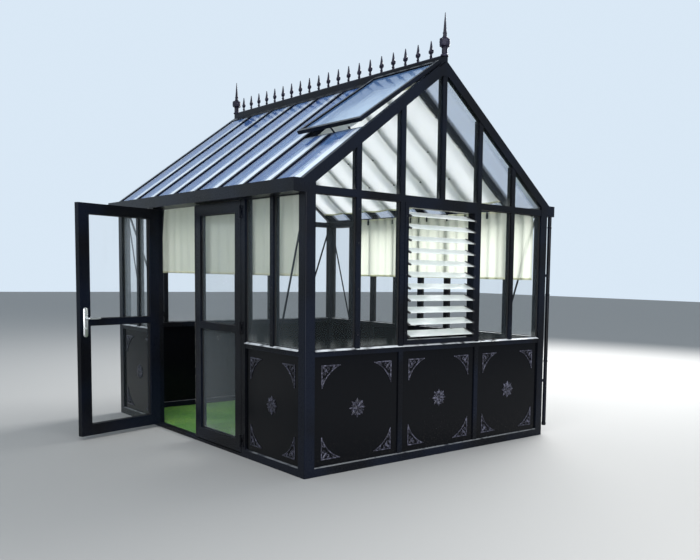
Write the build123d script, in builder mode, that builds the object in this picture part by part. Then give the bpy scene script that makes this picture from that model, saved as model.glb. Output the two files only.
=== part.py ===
from build123d import *
from math import cos, radians, tan
import os

# Glass greenhouse: an aluminium frame of glazing bays on a low base, with solid lower
# panels, a pitched roof, a double door in the left side wall, a louvre window in the
# front gable, a roof vent beside the ridge and a cast cresting along it.
# The origin is the centre of the floor at ground level. X runs across the front,
# Y from the front gable to the back gable, Z up. Sizes are in millimetres.

# Grid
module = 370.0  # one pane; a bay is two of them
bays_across = 3
bays_deep = 4
face_beyond_grid = 40.0
half_width = bays_across * module + face_beyond_grid
half_depth = bays_deep * module + face_beyond_grid

# Levels
base_height = 60.0
threshold_height = 20.0
sill_top = 815.0
beam_bottom = 1794.0
gutter_top = 1878.0

# Wall frame
post_side = 75.0
post_round = 6.0
base_depth = 60.0
base_chamfer = 6.0
sill_height = 45.0
sill_depth = 60.0
sill_ledge_drop = 11.0
sill_ledge_lip = 6.0
sill_projection = 8.0
sill_setback = 2.0
mullion_width = 40.0
mullion_setback = 4.0
mullion_depth = 50.0
cross_rail_height = 48.0
cross_rail_setback = 2.0
cross_rail_depth = 54.0
door_post_width = 50.0
door_post_depth = 60.0

# Glass and panels
glass_thickness = 4.0
glass_setback = 22.0
glass_bite = 8.0
groove_play = 1.0
seat_play = 1.0
panel_thickness = 10.0
panel_setback = 14.0

# Roof
pitch = 38.5
roof_seat_rise = 86.0  # top of the rafters above the beam's underside, at the wall face
rafter_width = 35.0
rafter_depth = 40.0
web_width = 6.0
glass_slot = 6.0
cap_width = 28.0
cap_thickness = 5.0
wall_plate_height = 56.0
rafter_overhang = 8.0
roof_glass_overhang = 15.0
gutter_projection = 85.0
gutter_wall = 4.0
gutter_lip = 12.0
gutter_floor = 6.0
outlet_length = 90.0
outlet_wall = 12.0
rake_width = 40.0
rake_above = 10.0
rake_below = 60.0
rake_ledge = 15.0
ridge_half_width = 28.0
ridge_web = 8.0
ridge_wing_reach = 62.0
ridge_wing_thickness = 4.0
ridge_board_half = 14.0
ridge_board_rise = 41.0

# Cresting
crest_gaps = 21
crest_rail_width = 22.0
crest_rail_height = 8.0
spike_height = 126.0
spike_thickness = 8.0
spike_foot = 12.0
spike_stem = 8.0
spike_lobe_reach = 23.0
spike_lobe_low = 42.0
spike_lobe_high = 60.0
spike_blade = 10.0
finial_height = 300.0
finial_column = 20.0
finial_foot = 8.0
collar_low = 66.0
collar_high = 122.0
collar_radius = 36.0
spire_radius = 15.0
finial_tip = 2.0

# Louvre window
louvre_bar = 32.0
louvre_depth = 70.0
louvre_blades_count = 11
blade_chord = 100.0
blade_thickness = 5.0
blade_tilt = 70.0
clip_length = 14.0
clip_wall = 3.0
clip_play = 0.3

# Roof vent
vent_length = 850.0
vent_bar = 30.0
vent_thickness = 26.0
vent_open = 2.5
vent_barrel = 6.0
vent_top_reach = 24.0
vent_stay_width = 16.0
vent_stay_thickness = 4.0

# Doors
leaf_gap = 6.0
leaf_meeting_gap = 10.0
leaf_clearance_over = 6.0
leaf_clearance_under = 8.0
leaf_depth = 45.0
leaf_stile = 85.0
leaf_top_rail = 80.0
leaf_mid_rail = 50.0
leaf_mid_height = 895.0
leaf_bottom_rail = 85.0
far_leaf_open = 75.0
hinge_count = 3
hinge_offset = 8.0
hinge_barrel = 7.0
hinge_pin = 3.0
hinge_pin_play = 0.05
hinge_length = 90.0
hinge_plate_thickness = 4.0
hinge_plate_reach = 30.0
hinge_play = 0.3
lock_plate_width = 38.0
lock_plate_height = 225.0
lock_plate_thickness = 4.0
lever_length = 105.0
lever_standoff = 42.0
lever_section = 14.0

# Ornaments on the lower panels
ornament_thickness = 4.0
corner_leg = 150.0
corner_band = 12.0
corner_bow = 0.45  # how far the inner strap bows out, as a share of the corner's reach
corner_inset = 8.0
corner_margin = 56.0
corner_foot_margin = 38.0
rosette_radius = 68.0
rosette_waist = 50.0
rosette_hole = 22.0
rosette_petals = 8

# Braces, downpipe, shade cloth and floor
brace_width = 18.0
brace_thickness = 4.0
pipe_radius = 16.0
pipe_bore = 14.0
pipe_foot = 70.0
pipe_standoff = 46.0
pipe_clip_width = 20.0
pipe_clip_height = 22.0
cloth_thickness = 3.0
cloth_play = 0.3
cloth_bottom = 1277.0
roof_cloth_ridge_gap = 70.0
roof_cloth_eave_gap = 100.0
left_cloth_end = 740.0
right_cloth_end = 860.0
floor_thickness = 14.0
floor_play = 0.5

# Values that follow from the sizes above
slope_cos = cos(radians(pitch))
slope_tan = tan(radians(pitch))
roof_seat = beam_bottom + roof_seat_rise
apex = roof_seat + half_width * slope_tan
wall_plate_top = beam_bottom + wall_plate_height
cross_rail_top = beam_bottom + cross_rail_height
sill_bottom = sill_top - sill_height
inner_half_width = half_width - post_side
inner_half_depth = half_depth - post_side
door_grid = bays_deep * module / 2
door_post_face = door_grid - door_post_width / 2
leaf_bottom = threshold_height + leaf_clearance_under
leaf_top = beam_bottom - leaf_clearance_over
leaf_hinge_edge = door_post_face - leaf_gap
leaf_free_edge = leaf_meeting_gap / 2
ridge_bottom = apex - ridge_half_width * slope_tan - rake_below / slope_cos
ridge_top = apex + ridge_board_rise
crest_base = ridge_top + crest_rail_height
pipe_x = half_width + pipe_standoff + pipe_radius
pipe_y = outlet_wall + pipe_radius - half_depth

# Each wall's plane: local x along the wall, local y up, normal outwards, on its outer face
front_wall = Plane(origin=(0, -half_depth, 0), x_dir=(1, 0, 0), z_dir=(0, -1, 0))
back_wall = Plane(origin=(0, half_depth, 0), x_dir=(-1, 0, 0), z_dir=(0, 1, 0))
right_wall = Plane(origin=(half_width, 0, 0), x_dir=(0, 1, 0), z_dir=(1, 0, 0))
left_wall = Plane(origin=(-half_width, 0, 0), x_dir=(0, -1, 0), z_dir=(-1, 0, 0))

# Each roof slope's plane: local x along the ridge, local y up the slope, normal outwards,
# on the tops of the rafters, with its origin on the apex line
slope_sin = slope_tan * slope_cos
left_slope = Plane(origin=(0, 0, apex), x_dir=(0, -1, 0), z_dir=(-slope_sin, 0, slope_cos))
right_slope = Plane(origin=(0, 0, apex), x_dir=(0, 1, 0), z_dir=(slope_sin, 0, slope_cos))


def rail(wall, start, end, outline):
    """A straight length along a wall, from points of (depth inwards, height)."""
    section = Plane(
        origin=wall.from_local_coords((start, 0, 0)),
        x_dir=-wall.z_dir,
        z_dir=wall.x_dir,
    )
    with BuildPart() as made:
        with BuildSketch(section):
            with BuildLine():
                Polyline(*outline, close=True)
            make_face()
        extrude(amount=end - start)
    return made.part


def slope_bar(slope, across, outline, low, high):
    """A bar up a roof slope, from points of (across, out of the slope)."""
    section = Plane(
        origin=slope.from_local_coords((across, low, 0)),
        x_dir=-slope.x_dir,
        z_dir=slope.y_dir,
    )
    with BuildPart() as made:
        with BuildSketch(section):
            with BuildLine():
                Polyline(*outline, close=True)
            make_face()
        extrude(amount=high - low)
    return made.part


def plates(wall, outlines, front, back):
    """Flat pieces parallel to a wall, between two depths inwards from its face."""
    with BuildPart() as made:
        for outline in outlines:
            with BuildSketch(wall.offset(-front)):
                with BuildLine():
                    Polyline(*outline, close=True)
                make_face()
            extrude(amount=front - back)
    return made.part


def block(start, end, low, high):
    """The four corners of a rectangle in a wall's plane."""
    return [(start, low), (end, low), (end, high), (start, high)]


def upright(centre, width, low, high):
    return block(centre - width / 2, centre + width / 2, low, high)


def band(front, back, low, high):
    """The four corners of a rail's rectangular section."""
    return [(back, low), (front, low), (front, high), (back, high)]


def grid_lines(count):
    """The inner grid lines of a wall with this many modules."""
    return [(i - count / 2) * module for i in range(1, count)]


def rake_underside(across):
    return apex - abs(across) * slope_tan - rake_below / slope_cos


# Uprights' places along each wall
across_lines = grid_lines(2 * bays_across)
deep_lines = grid_lines(2 * bays_deep)
louvre_lines = [u for u in across_lines if abs(u) < module / 2]
front_lines = [u for u in across_lines if u not in louvre_lines]
left_lines = [u for u in deep_lines if abs(u) > door_grid + module / 2]
bay_lines_across = [u for u in across_lines if round(u / module + bays_across) % 2 == 0]
bay_lines_deep = [u for u in deep_lines if round(u / module + bays_deep) % 2 == 0]


def openings_between(edges, lines, width):
    """Clear openings between uprights of one width, inside the two end edges."""
    stops = [edges[0]] + [u + s * width / 2 for u in lines for s in (-1, 1)] + [edges[1]]
    return list(zip(stops[0::2], stops[1::2]))


front_openings = [
    gap
    for gap in openings_between((-inner_half_width, inner_half_width), front_lines, mullion_width)
    if gap[1] - gap[0] < 1.5 * module
]
back_openings = openings_between((-inner_half_width, inner_half_width), across_lines, mullion_width)
right_openings = openings_between((-inner_half_depth, inner_half_depth), deep_lines, mullion_width)
door_post_back = door_grid + door_post_width / 2
left_near_openings = openings_between(
    (door_post_back, inner_half_depth), [u for u in left_lines if u > 0], mullion_width
)
left_openings = left_near_openings + [(-b, -a) for a, b in left_near_openings]


def window_panes(wall, gaps, grow, thick):
    """Panes that stand on the sill and enter the uprights and the beam above."""
    middle = glass_setback + glass_thickness / 2
    outlines = [
        block(
            a - glass_bite - grow,
            b + glass_bite + grow,
            sill_top - grow,
            beam_bottom + glass_bite + grow,
        )
        for a, b in gaps
    ]
    return plates(wall, outlines, middle - thick / 2, middle + thick / 2)


def gable_pane_outline(a, b):
    """A pane over the cross rail, cut to the rake."""
    low = max(a, -inner_half_width + seat_play)
    high = min(b, inner_half_width - seat_play)
    turns = [u for u in (ridge_half_width, -ridge_half_width) if low < u < high]
    top = [(u, min(rake_underside(u), ridge_bottom) - seat_play) for u in [high, *turns, low]]
    return [(low, cross_rail_top), (high, cross_rail_top)] + top


def gable_panes(wall, grow, thick):
    middle = glass_setback + glass_thickness / 2
    edge = glass_bite + grow
    outlines = [gable_pane_outline(a - edge, b + edge) for a, b in back_openings]
    return plates(wall, outlines, middle - thick / 2, middle + thick / 2)


groove = glass_thickness + 2 * groove_play
window_sets = [
    (front_wall, front_openings),
    (back_wall, back_openings),
    (right_wall, right_openings),
    (left_wall, left_openings),
]
window_grooves = [window_panes(wall, gaps, groove_play, groove) for wall, gaps in window_sets]
gable_grooves = [gable_panes(wall, groove_play, groove) for wall in (front_wall, back_wall)]

# Base rails between the posts, with a low threshold across the doorway
base_outline = [
    (base_depth, 0),
    (0, 0),
    (0, base_height - base_chamfer),
    (base_chamfer, base_height),
    (base_depth, base_height),
]
threshold_outline = band(0, base_depth, 0, threshold_height)
base_lengths = [
    rail(front_wall, -inner_half_width, inner_half_width, base_outline),
    rail(back_wall, -inner_half_width, inner_half_width, base_outline),
    rail(right_wall, -inner_half_depth, inner_half_depth, base_outline),
    rail(left_wall, door_post_back, inner_half_depth, base_outline),
    rail(left_wall, -inner_half_depth, -door_post_back, base_outline),
    rail(left_wall, -door_post_face, door_post_face, threshold_outline),
]
with BuildPart() as base_rails:
    for length in base_lengths:
        add(length)
base_rails.part.label = "base_rails"

# Corner posts, rounded on their outer edge and grooved for the glass
post_x = half_width - post_side / 2
post_y = half_depth - post_side / 2
with BuildPart() as corner_posts:
    with BuildSketch():
        with GridLocations(2 * post_x, 2 * post_y, 2, 2):
            Rectangle(post_side, post_side)
        corners = [
            v
            for v in vertices()
            if abs(v.X) > half_width - 1 and abs(v.Y) > half_depth - 1
        ]
        fillet(corners, radius=post_round)
    extrude(amount=beam_bottom)
    for cut in window_grooves:
        add(cut, mode=Mode.SUBTRACT)
corner_posts.part.label = "corner_posts"

# Door posts
door_post_bars = plates(
    left_wall,
    [
        upright(-door_grid, door_post_width, 0, beam_bottom),
        upright(door_grid, door_post_width, 0, beam_bottom),
    ],
    0,
    door_post_depth,
)
with BuildPart() as door_posts:
    add(door_post_bars)
    add(window_grooves[3], mode=Mode.SUBTRACT)
door_posts.part.label = "door_posts"

# Sills with a sloping ledge outside the glass
ledge_back = glass_setback - groove_play
sill_outline = [
    (sill_depth, sill_bottom),
    (sill_setback, sill_bottom),
    (sill_setback, sill_top - sill_ledge_drop - sill_ledge_lip),
    (-sill_projection, sill_top - sill_ledge_drop - sill_ledge_lip),
    (-sill_projection, sill_top - sill_ledge_drop),
    (ledge_back, sill_top),
    (sill_depth, sill_top),
]
sill_lengths = [
    rail(front_wall, -inner_half_width, inner_half_width, sill_outline),
    rail(back_wall, -inner_half_width, inner_half_width, sill_outline),
    rail(right_wall, -inner_half_depth, inner_half_depth, sill_outline),
    rail(left_wall, door_post_back, inner_half_depth, sill_outline),
    rail(left_wall, -inner_half_depth, -door_post_back, sill_outline),
]
with BuildPart() as sill_rails:
    for length in sill_lengths:
        add(length)
sill_rails.part.label = "sill_rails"

# Mullions: window uprights scribed to the sill's ledge, and short ones between the panels
scribe = sill_top - sill_ledge_drop
mullion_back = mullion_setback + mullion_depth


def wall_uprights(wall, window_lines, panel_lines):
    tall = [upright(u, mullion_width, scribe, beam_bottom) for u in window_lines]
    short = [upright(u, mullion_width, base_height, sill_bottom) for u in panel_lines]
    return plates(wall, tall + short, mullion_setback, mullion_back)


gable_uprights = [
    wall_uprights(front_wall, front_lines, bay_lines_across),
    wall_uprights(back_wall, across_lines, bay_lines_across),
]
with BuildPart() as gable_mullions:
    for bars in gable_uprights:
        add(bars)
    for cut in sill_lengths[:2] + window_grooves[:2]:
        add(cut, mode=Mode.SUBTRACT)
gable_mullions.part.label = "gable_mullions"

side_uprights = [
    wall_uprights(right_wall, deep_lines, bay_lines_deep),
    wall_uprights(left_wall, left_lines, []),
]
with BuildPart() as side_mullions:
    for bars in side_uprights:
        add(bars)
    for cut in sill_lengths[2:] + window_grooves[2:]:
        add(cut, mode=Mode.SUBTRACT)
side_mullions.part.label = "side_mullions"

# Eaves beams: a wall plate with a gutter outside it, closed by a block at each end
gutter_outline = [
    (post_side, beam_bottom),
    (-gutter_projection, beam_bottom),
    (-gutter_projection, gutter_top),
    (-gutter_projection + gutter_lip, gutter_top),
    (-gutter_projection + gutter_lip, gutter_top - gutter_wall),
    (-gutter_projection + gutter_wall, gutter_top - gutter_wall),
    (-gutter_projection + gutter_wall, beam_bottom + gutter_floor),
    (0, beam_bottom + gutter_floor),
    (0, wall_plate_top),
    (post_side, wall_plate_top),
]
plate_outline = band(0, post_side, beam_bottom, wall_plate_top)
plate_end = band(0, post_side, beam_bottom, gutter_top)
gutter_end = band(-gutter_projection, post_side, beam_bottom, gutter_top)
near_end = rake_width - half_depth
far_end = half_depth - rake_width
outlet_end = outlet_length - half_depth
gutter_lengths = [
    rail(left_wall, -half_depth, half_depth, gutter_outline),
    rail(left_wall, -half_depth, near_end, gutter_end),
    rail(left_wall, far_end, half_depth, gutter_end),
    rail(right_wall, -half_depth, outlet_end, plate_outline),
    rail(right_wall, -half_depth, near_end, plate_end),
    rail(right_wall, outlet_end, half_depth, gutter_outline),
    rail(right_wall, far_end, half_depth, gutter_end),
]
with BuildPart() as gutters:
    for length in gutter_lengths:
        add(length)
    for cut in window_grooves:
        add(cut, mode=Mode.SUBTRACT)
gutters.part.label = "gutters"

# Outlet at the right gutter's front end: a cast length of the gutter over the downpipe
outlet_outline = [(0, beam_bottom)] + gutter_outline[1:8]
outlet_block = band(-gutter_projection, 0, beam_bottom, gutter_top)
outlet_face = outlet_wall - half_depth
outlet_parts = [
    rail(right_wall, outlet_face, outlet_end, outlet_outline),
    rail(right_wall, -half_depth, outlet_face, outlet_block),
]
with BuildPart() as gutter_outlet:
    for length in outlet_parts:
        add(length)
    with BuildSketch(Plane.XY.offset(beam_bottom)):
        with Locations((pipe_x, pipe_y)):
            Circle(pipe_bore)
    extrude(amount=gutter_top - beam_bottom, mode=Mode.SUBTRACT)
gutter_outlet.part.label = "gutter_outlet"

# Cross rails at the feet of the gable triangles
cross_outline = band(
    cross_rail_setback, cross_rail_setback + cross_rail_depth, beam_bottom, cross_rail_top
)
cross_lengths = [
    rail(wall, -inner_half_width, inner_half_width, cross_outline)
    for wall in (front_wall, back_wall)
]
with BuildPart() as gable_cross_rails:
    for length in cross_lengths:
        add(length)
    for cut in window_grooves[:2]:
        add(cut, mode=Mode.SUBTRACT)
gable_cross_rails.part.label = "gable_cross_rails"


def gable_bar_outline(centre):
    """An upright over the cross rail, cut to the rake or to the ridge above it."""
    a = centre - mullion_width / 2
    b = centre + mullion_width / 2
    if a < 0 < b:
        return block(a, b, cross_rail_top, ridge_bottom)
    return [(a, cross_rail_top), (b, cross_rail_top), (b, rake_underside(b)), (a, rake_underside(a))]


gable_bar_outlines = [gable_bar_outline(u) for u in across_lines]
gable_bar_sets = [
    plates(wall, gable_bar_outlines, mullion_setback, mullion_back)
    for wall in (front_wall, back_wall)
]
with BuildPart() as gable_bars:
    for bars in gable_bar_sets:
        add(bars)
    for cut in gable_grooves:
        add(cut, mode=Mode.SUBTRACT)
gable_bars.part.label = "gable_bars"

# Rakes: the roof's sloping edges, each with a ledge for the last pane
slope_foot = -(half_width + gutter_projection) / slope_cos
rake_outline = [
    (0, -rake_below),
    (rake_width, -rake_below),
    (rake_width, rake_above),
    (0, rake_above),
    (0, 0),
    (-rake_ledge, 0),
    (-rake_ledge, -rafter_depth),
    (0, -rafter_depth),
]
mirrored_rake = [(-a, b) for a, b in rake_outline]
rake_grid = half_depth - rake_width
rake_lengths = []
for slope in (left_slope, right_slope):
    rake_lengths.append(slope_bar(slope, -rake_grid, rake_outline, slope_foot, 0))
    rake_lengths.append(slope_bar(slope, rake_grid, mirrored_rake, slope_foot, 0))
beam_envelope = [
    rail(wall, -half_depth, half_depth, band(-2 * gutter_projection, post_side, 0, gutter_top))
    for wall in (left_wall, right_wall)
]
ridge_slot = rail(
    Plane(origin=(0, 0, 0), x_dir=(0, 1, 0), z_dir=(1, 0, 0)),
    -half_depth,
    half_depth,
    band(-ridge_half_width, ridge_half_width, ridge_bottom - post_side, apex + post_side),
)
rake_wing_cut = rail(
    Plane(origin=(0, 0, 0), x_dir=(0, 1, 0), z_dir=(1, 0, 0)),
    -half_depth,
    half_depth,
    [
        (-ridge_wing_reach - 1, apex - ridge_wing_reach * slope_tan),
        (0, apex),
        (ridge_wing_reach + 1, apex - ridge_wing_reach * slope_tan),
        (ridge_wing_reach + 1, apex + post_side),
        (-ridge_wing_reach - 1, apex + post_side),
    ],
)
with BuildPart() as gable_rakes:
    for length in rake_lengths:
        add(length)
    for cut in beam_envelope + [ridge_slot, rake_wing_cut]:
        add(cut, mode=Mode.SUBTRACT)
gable_rakes.part.label = "gable_rakes"

# Ridge: a beam with shoulders for the glass, wings over it and a board for the cresting
cap_under = glass_slot / slope_cos
cap_over = (glass_slot + ridge_wing_thickness) / slope_cos
ridge_half = [
    (0, ridge_bottom),
    (ridge_half_width, ridge_bottom),
    (ridge_half_width, apex - ridge_half_width * slope_tan),
    (ridge_web, apex - ridge_web * slope_tan),
    (ridge_web, apex - ridge_web * slope_tan + cap_under),
    (ridge_wing_reach, apex - ridge_wing_reach * slope_tan + cap_under),
    (ridge_wing_reach, apex - ridge_wing_reach * slope_tan + cap_over),
    (ridge_board_half, apex - ridge_board_half * slope_tan + cap_over),
    (ridge_board_half, ridge_top),
    (0, ridge_top),
]
with BuildPart() as ridge_beam:
    with BuildSketch(Plane.XZ.offset(-half_depth)):
        with BuildLine():
            Polyline(*ridge_half)
            mirror(about=Plane.YZ)
        make_face()
    extrude(amount=2 * half_depth)
ridge_beam.part.label = "ridge_beam"

# Rafters: a tube with a web and a cap that holds the panes down
tube_outline = [
    (-rafter_width / 2, -rafter_depth),
    (rafter_width / 2, -rafter_depth),
    (rafter_width / 2, 0),
    (-rafter_width / 2, 0),
]
tee_outline = [
    (-web_width / 2, 0),
    (web_width / 2, 0),
    (web_width / 2, glass_slot),
    (cap_width / 2, glass_slot),
    (cap_width / 2, glass_slot + cap_thickness),
    (-cap_width / 2, glass_slot + cap_thickness),
    (-cap_width / 2, glass_slot),
    (-web_width / 2, glass_slot),
]
tee_head = -(ridge_wing_reach + seat_play) / slope_cos
vent_middle = max(deep_lines)
vent_edge = vent_middle - module
vent_foot = -(vent_top_reach / slope_cos + vent_length)
trim_top = vent_foot + vent_bar
trim_low = trim_top - rafter_width
plate_cut = [
    rail(wall, -half_depth, half_depth, band(-3 * gutter_projection, post_side, 0, wall_plate_top))
    for wall in (left_wall, right_wall)
]
foot_cut = [
    rail(
        wall,
        -half_depth,
        half_depth,
        band(-3 * gutter_projection, -rafter_overhang, 0, apex),
    )
    for wall in (left_wall, right_wall)
]


def rafter_set(slope, lines, short_lines):
    """Whole rafters on some grid lines, and ones that stop at the vent's trimmer."""
    bars = []
    for u in lines:
        head = trim_low if u in short_lines else 0
        tee = trim_low if u in short_lines else tee_head
        bars.append(slope_bar(slope, u, tube_outline, slope_foot, head))
        bars.append(slope_bar(slope, u, tee_outline, slope_foot, tee))
    return bars


left_bars = rafter_set(left_slope, deep_lines, [vent_middle])
right_bars = rafter_set(right_slope, deep_lines, [])
with BuildPart() as rafters_left:
    for bar in left_bars:
        add(bar)
    for cut in [plate_cut[0], foot_cut[0], ridge_slot]:
        add(cut, mode=Mode.SUBTRACT)
rafters_left.part.label = "rafters_left"
with BuildPart() as rafters_right:
    for bar in right_bars:
        add(bar)
    for cut in [plate_cut[1], foot_cut[1], ridge_slot]:
        add(cut, mode=Mode.SUBTRACT)
rafters_right.part.label = "rafters_right"

# Roof panes, resting on the rafters and the rakes' ledges
pane_foot = -(half_width + roof_glass_overhang) / slope_cos
pane_head = -(ridge_web + seat_play) / slope_cos
rake_edge = rake_grid - seat_play
web_edge = web_width / 2 + seat_play


def roof_panes(slope, short_above):
    """One pane a module; those past the line short_above stop under the vent."""
    stops = [-rake_edge] + [u + s * web_edge for u in deep_lines for s in (-1, 1)] + [rake_edge]
    with BuildPart() as made:
        for a, b in zip(stops[0::2], stops[1::2]):
            head = (trim_low + trim_top) / 2 if (a + b) / 2 > short_above else pane_head
            with BuildSketch(slope):
                with Locations(((a + b) / 2, (pane_foot + head) / 2)):
                    Rectangle(b - a, head - pane_foot)
            extrude(amount=glass_thickness)
    return made.part


left_panes = roof_panes(left_slope, vent_edge)
right_panes = roof_panes(right_slope, half_depth)
with BuildPart() as roof_glass_left:
    add(left_panes)
roof_glass_left.part.label = "roof_glass_left"
with BuildPart() as roof_glass_right:
    add(right_panes)
roof_glass_right.part.label = "roof_glass_right"

# Trimmer that carries the short panes and the vent's stay
trim_near = rake_grid - rake_ledge
trim_far = vent_edge + rafter_width / 2
with BuildPart() as vent_trimmer:
    with BuildSketch(left_slope):
        with Locations(((trim_near + trim_far) / 2, (trim_low + trim_top) / 2)):
            Rectangle(trim_near - trim_far, rafter_width)
    extrude(amount=-rafter_depth)
vent_trimmer.part.label = "vent_trimmer"

# Roof vent, hung on a barrel that lies on the ridge's wing, its lower edge raised
vent_axis_height = glass_slot + ridge_wing_thickness + vent_barrel
vent_axis = left_slope.from_local_coords((0, -vent_top_reach / slope_cos, vent_axis_height))
vent_plane = Plane(
    origin=vent_axis,
    x_dir=left_slope.x_dir,
    z_dir=left_slope.z_dir.rotate(Axis.Y, vent_open),
)
vent_near = rake_grid + rake_width / 2
vent_far = vent_edge + cap_width / 2
vent_width = vent_near - vent_far
vent_centre = (vent_near + vent_far) / 2
vent_bars = vent_plane.offset(-vent_barrel)
vent_pane_plane = vent_plane.offset(vent_thickness / 2 - vent_barrel - glass_thickness / 2)
barrel_plane = Plane(
    origin=vent_plane.from_local_coords((vent_far, 0, 0)), z_dir=vent_plane.x_dir
)
with BuildPart() as vent_glass:
    with BuildSketch(vent_pane_plane):
        with Locations((vent_centre, -vent_length / 2)):
            Rectangle(vent_width - vent_bar, vent_length - vent_bar)
    extrude(amount=glass_thickness)
vent_glass.part.label = "vent_glass"
with BuildPart() as vent_frame:
    with BuildSketch(vent_bars):
        with Locations((vent_centre, -vent_length / 2)):
            Rectangle(vent_width, vent_length)
            Rectangle(vent_width - 2 * vent_bar, vent_length - 2 * vent_bar, mode=Mode.SUBTRACT)
    extrude(amount=vent_thickness)
    with BuildSketch(barrel_plane):
        Circle(vent_barrel)
    extrude(amount=vent_width)
    add(vent_glass.part, mode=Mode.SUBTRACT)
vent_frame.part.label = "vent_frame"

# Stay that stands on the trimmer and holds the vent's lower bar up
stay_head = left_slope.to_local_coords(
    vent_plane.from_local_coords((vent_centre, -vent_length + vent_bar / 2, 0))
)
stay_foot = trim_top - vent_stay_thickness
stay_plane = Plane(
    origin=left_slope.from_local_coords((vent_centre - vent_stay_width / 2, 0, 0)),
    x_dir=left_slope.y_dir,
    z_dir=left_slope.x_dir,
)
with BuildPart() as vent_stay:
    with BuildSketch(stay_plane):
        Polygon(
            (stay_foot - vent_stay_thickness / 2, 0),
            (stay_foot + vent_stay_thickness / 2, 0),
            (stay_head.Y + vent_stay_thickness / 2, stay_head.Z),
            (stay_head.Y - vent_stay_thickness / 2, stay_head.Z),
            align=None,
        )
    extrude(amount=vent_stay_width)
    add(vent_frame.part, mode=Mode.SUBTRACT)
vent_stay.part.label = "vent_stay"

# Wall and gable glass
wall_panes = [window_panes(wall, gaps, 0, glass_thickness) for wall, gaps in window_sets]
with BuildPart() as front_glass:
    add(wall_panes[0])
front_glass.part.label = "front_glass"
with BuildPart() as back_glass:
    add(wall_panes[1])
back_glass.part.label = "back_glass"
with BuildPart() as right_glass:
    add(wall_panes[2])
right_glass.part.label = "right_glass"
with BuildPart() as left_glass:
    add(wall_panes[3])
left_glass.part.label = "left_glass"
gable_pane_sets = [gable_panes(wall, 0, glass_thickness) for wall in (front_wall, back_wall)]
with BuildPart() as gable_glass:
    for panes in gable_pane_sets:
        add(panes)
gable_glass.part.label = "gable_glass"

# Lower panels, one a bay
panel_gaps_across = openings_between(
    (-inner_half_width, inner_half_width), bay_lines_across, mullion_width
)
panel_gaps_deep = openings_between(
    (-inner_half_depth, inner_half_depth), bay_lines_deep, mullion_width
)
panel_sets = [
    (front_wall, panel_gaps_across),
    (back_wall, panel_gaps_across),
    (right_wall, panel_gaps_deep),
    (left_wall, [(door_post_back, inner_half_depth), (-inner_half_depth, -door_post_back)]),
]
panel_parts = [
    plates(
        wall,
        [block(a, b, base_height, sill_bottom) for a, b in gaps],
        panel_setback,
        panel_setback + panel_thickness,
    )
    for wall, gaps in panel_sets
]
with BuildPart() as lower_panels:
    for panels in panel_parts:
        add(panels)
lower_panels.part.label = "lower_panels"


def corner_ornament():
    """An openwork corner piece with its right angle at the origin."""
    reach = corner_leg - 2 * corner_band
    bow = reach * corner_bow
    with BuildSketch() as made:
        Polygon(
            (0, 0),
            (corner_leg, 0),
            (corner_leg - corner_band, corner_band),
            (corner_band, corner_band),
            (corner_band, corner_leg - corner_band),
            (0, corner_leg),
            align=None,
        )
        Polygon(
            (reach, corner_band / 2),
            (bow, bow),
            (corner_band / 2, reach),
            (corner_band / 2, reach - corner_band),
            (bow - corner_inset, bow - corner_inset),
            (reach - corner_band, corner_band / 2),
            align=None,
        )
    return made.sketch


def rosette():
    """A rosette of pointed petals round a square opening."""
    turn = 180 / rosette_petals
    points = []
    for i in range(rosette_petals):
        points.append(Vector(rosette_radius, 0).rotate(Axis.Z, 2 * i * turn))
        points.append(Vector(rosette_waist, 0).rotate(Axis.Z, (2 * i + 1) * turn))
    with BuildSketch() as made:
        Polygon(*points, align=None)
        RegularPolygon(rosette_hole, 4, mode=Mode.SUBTRACT)
    return made.sketch


corner_shape = corner_ornament()
rosette_shape = rosette()


def panel_ornaments(wall, gaps):
    face = wall.offset(-panel_setback)
    with BuildPart() as made:
        for a, b in gaps:
            middle = ((a + b) / 2, (base_height + sill_bottom) / 2)
            places = [
                (a + corner_margin, base_height + corner_foot_margin, 0),
                (b - corner_margin, base_height + corner_foot_margin, 90),
                (b - corner_margin, sill_bottom - corner_margin, 180),
                (a + corner_margin, sill_bottom - corner_margin, 270),
            ]
            with BuildSketch(face):
                for u, v, turn in places:
                    with Locations(Location((u, v), turn)):
                        add(corner_shape)
                with Locations(middle):
                    add(rosette_shape)
            extrude(amount=ornament_thickness)
    return made.part


ornament_parts = [panel_ornaments(wall, gaps) for wall, gaps in panel_sets]
with BuildPart() as panel_castings:
    for castings in ornament_parts:
        add(castings)
panel_castings.part.label = "panel_ornaments"

# Ridge cresting: a rail of fleur spikes between two finials
crest_length = 2 * half_depth - rake_width
crest_pitch = crest_length / crest_gaps
spike_places = [(i - crest_gaps / 2) * crest_pitch for i in range(1, crest_gaps)]
spike_half = [
    (0, 0),
    (spike_foot, 0),
    (spike_stem, spike_foot),
    (spike_stem, spike_lobe_low - spike_blade),
    (spike_lobe_reach, spike_lobe_low),
    (spike_lobe_reach, spike_lobe_high),
    (spike_stem, spike_lobe_high),
    (spike_blade, spike_lobe_high + spike_lobe_reach),
    (0, spike_height),
]
spike_mirror = [(-a, b) for a, b in spike_half[-2:0:-1]]
with BuildPart() as ridge_cresting:
    with BuildSketch(Plane.XY.offset(ridge_top)):
        Rectangle(crest_rail_width, crest_length - 2 * (finial_column + finial_foot))
    extrude(amount=crest_rail_height)
    with BuildSketch(Plane.YZ.offset(-spike_thickness / 2)):
        for place in spike_places:
            with Locations((place, crest_base)):
                Polygon(*spike_half, *spike_mirror, align=None)
    extrude(amount=spike_thickness)
ridge_cresting.part.label = "ridge_cresting"

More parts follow.
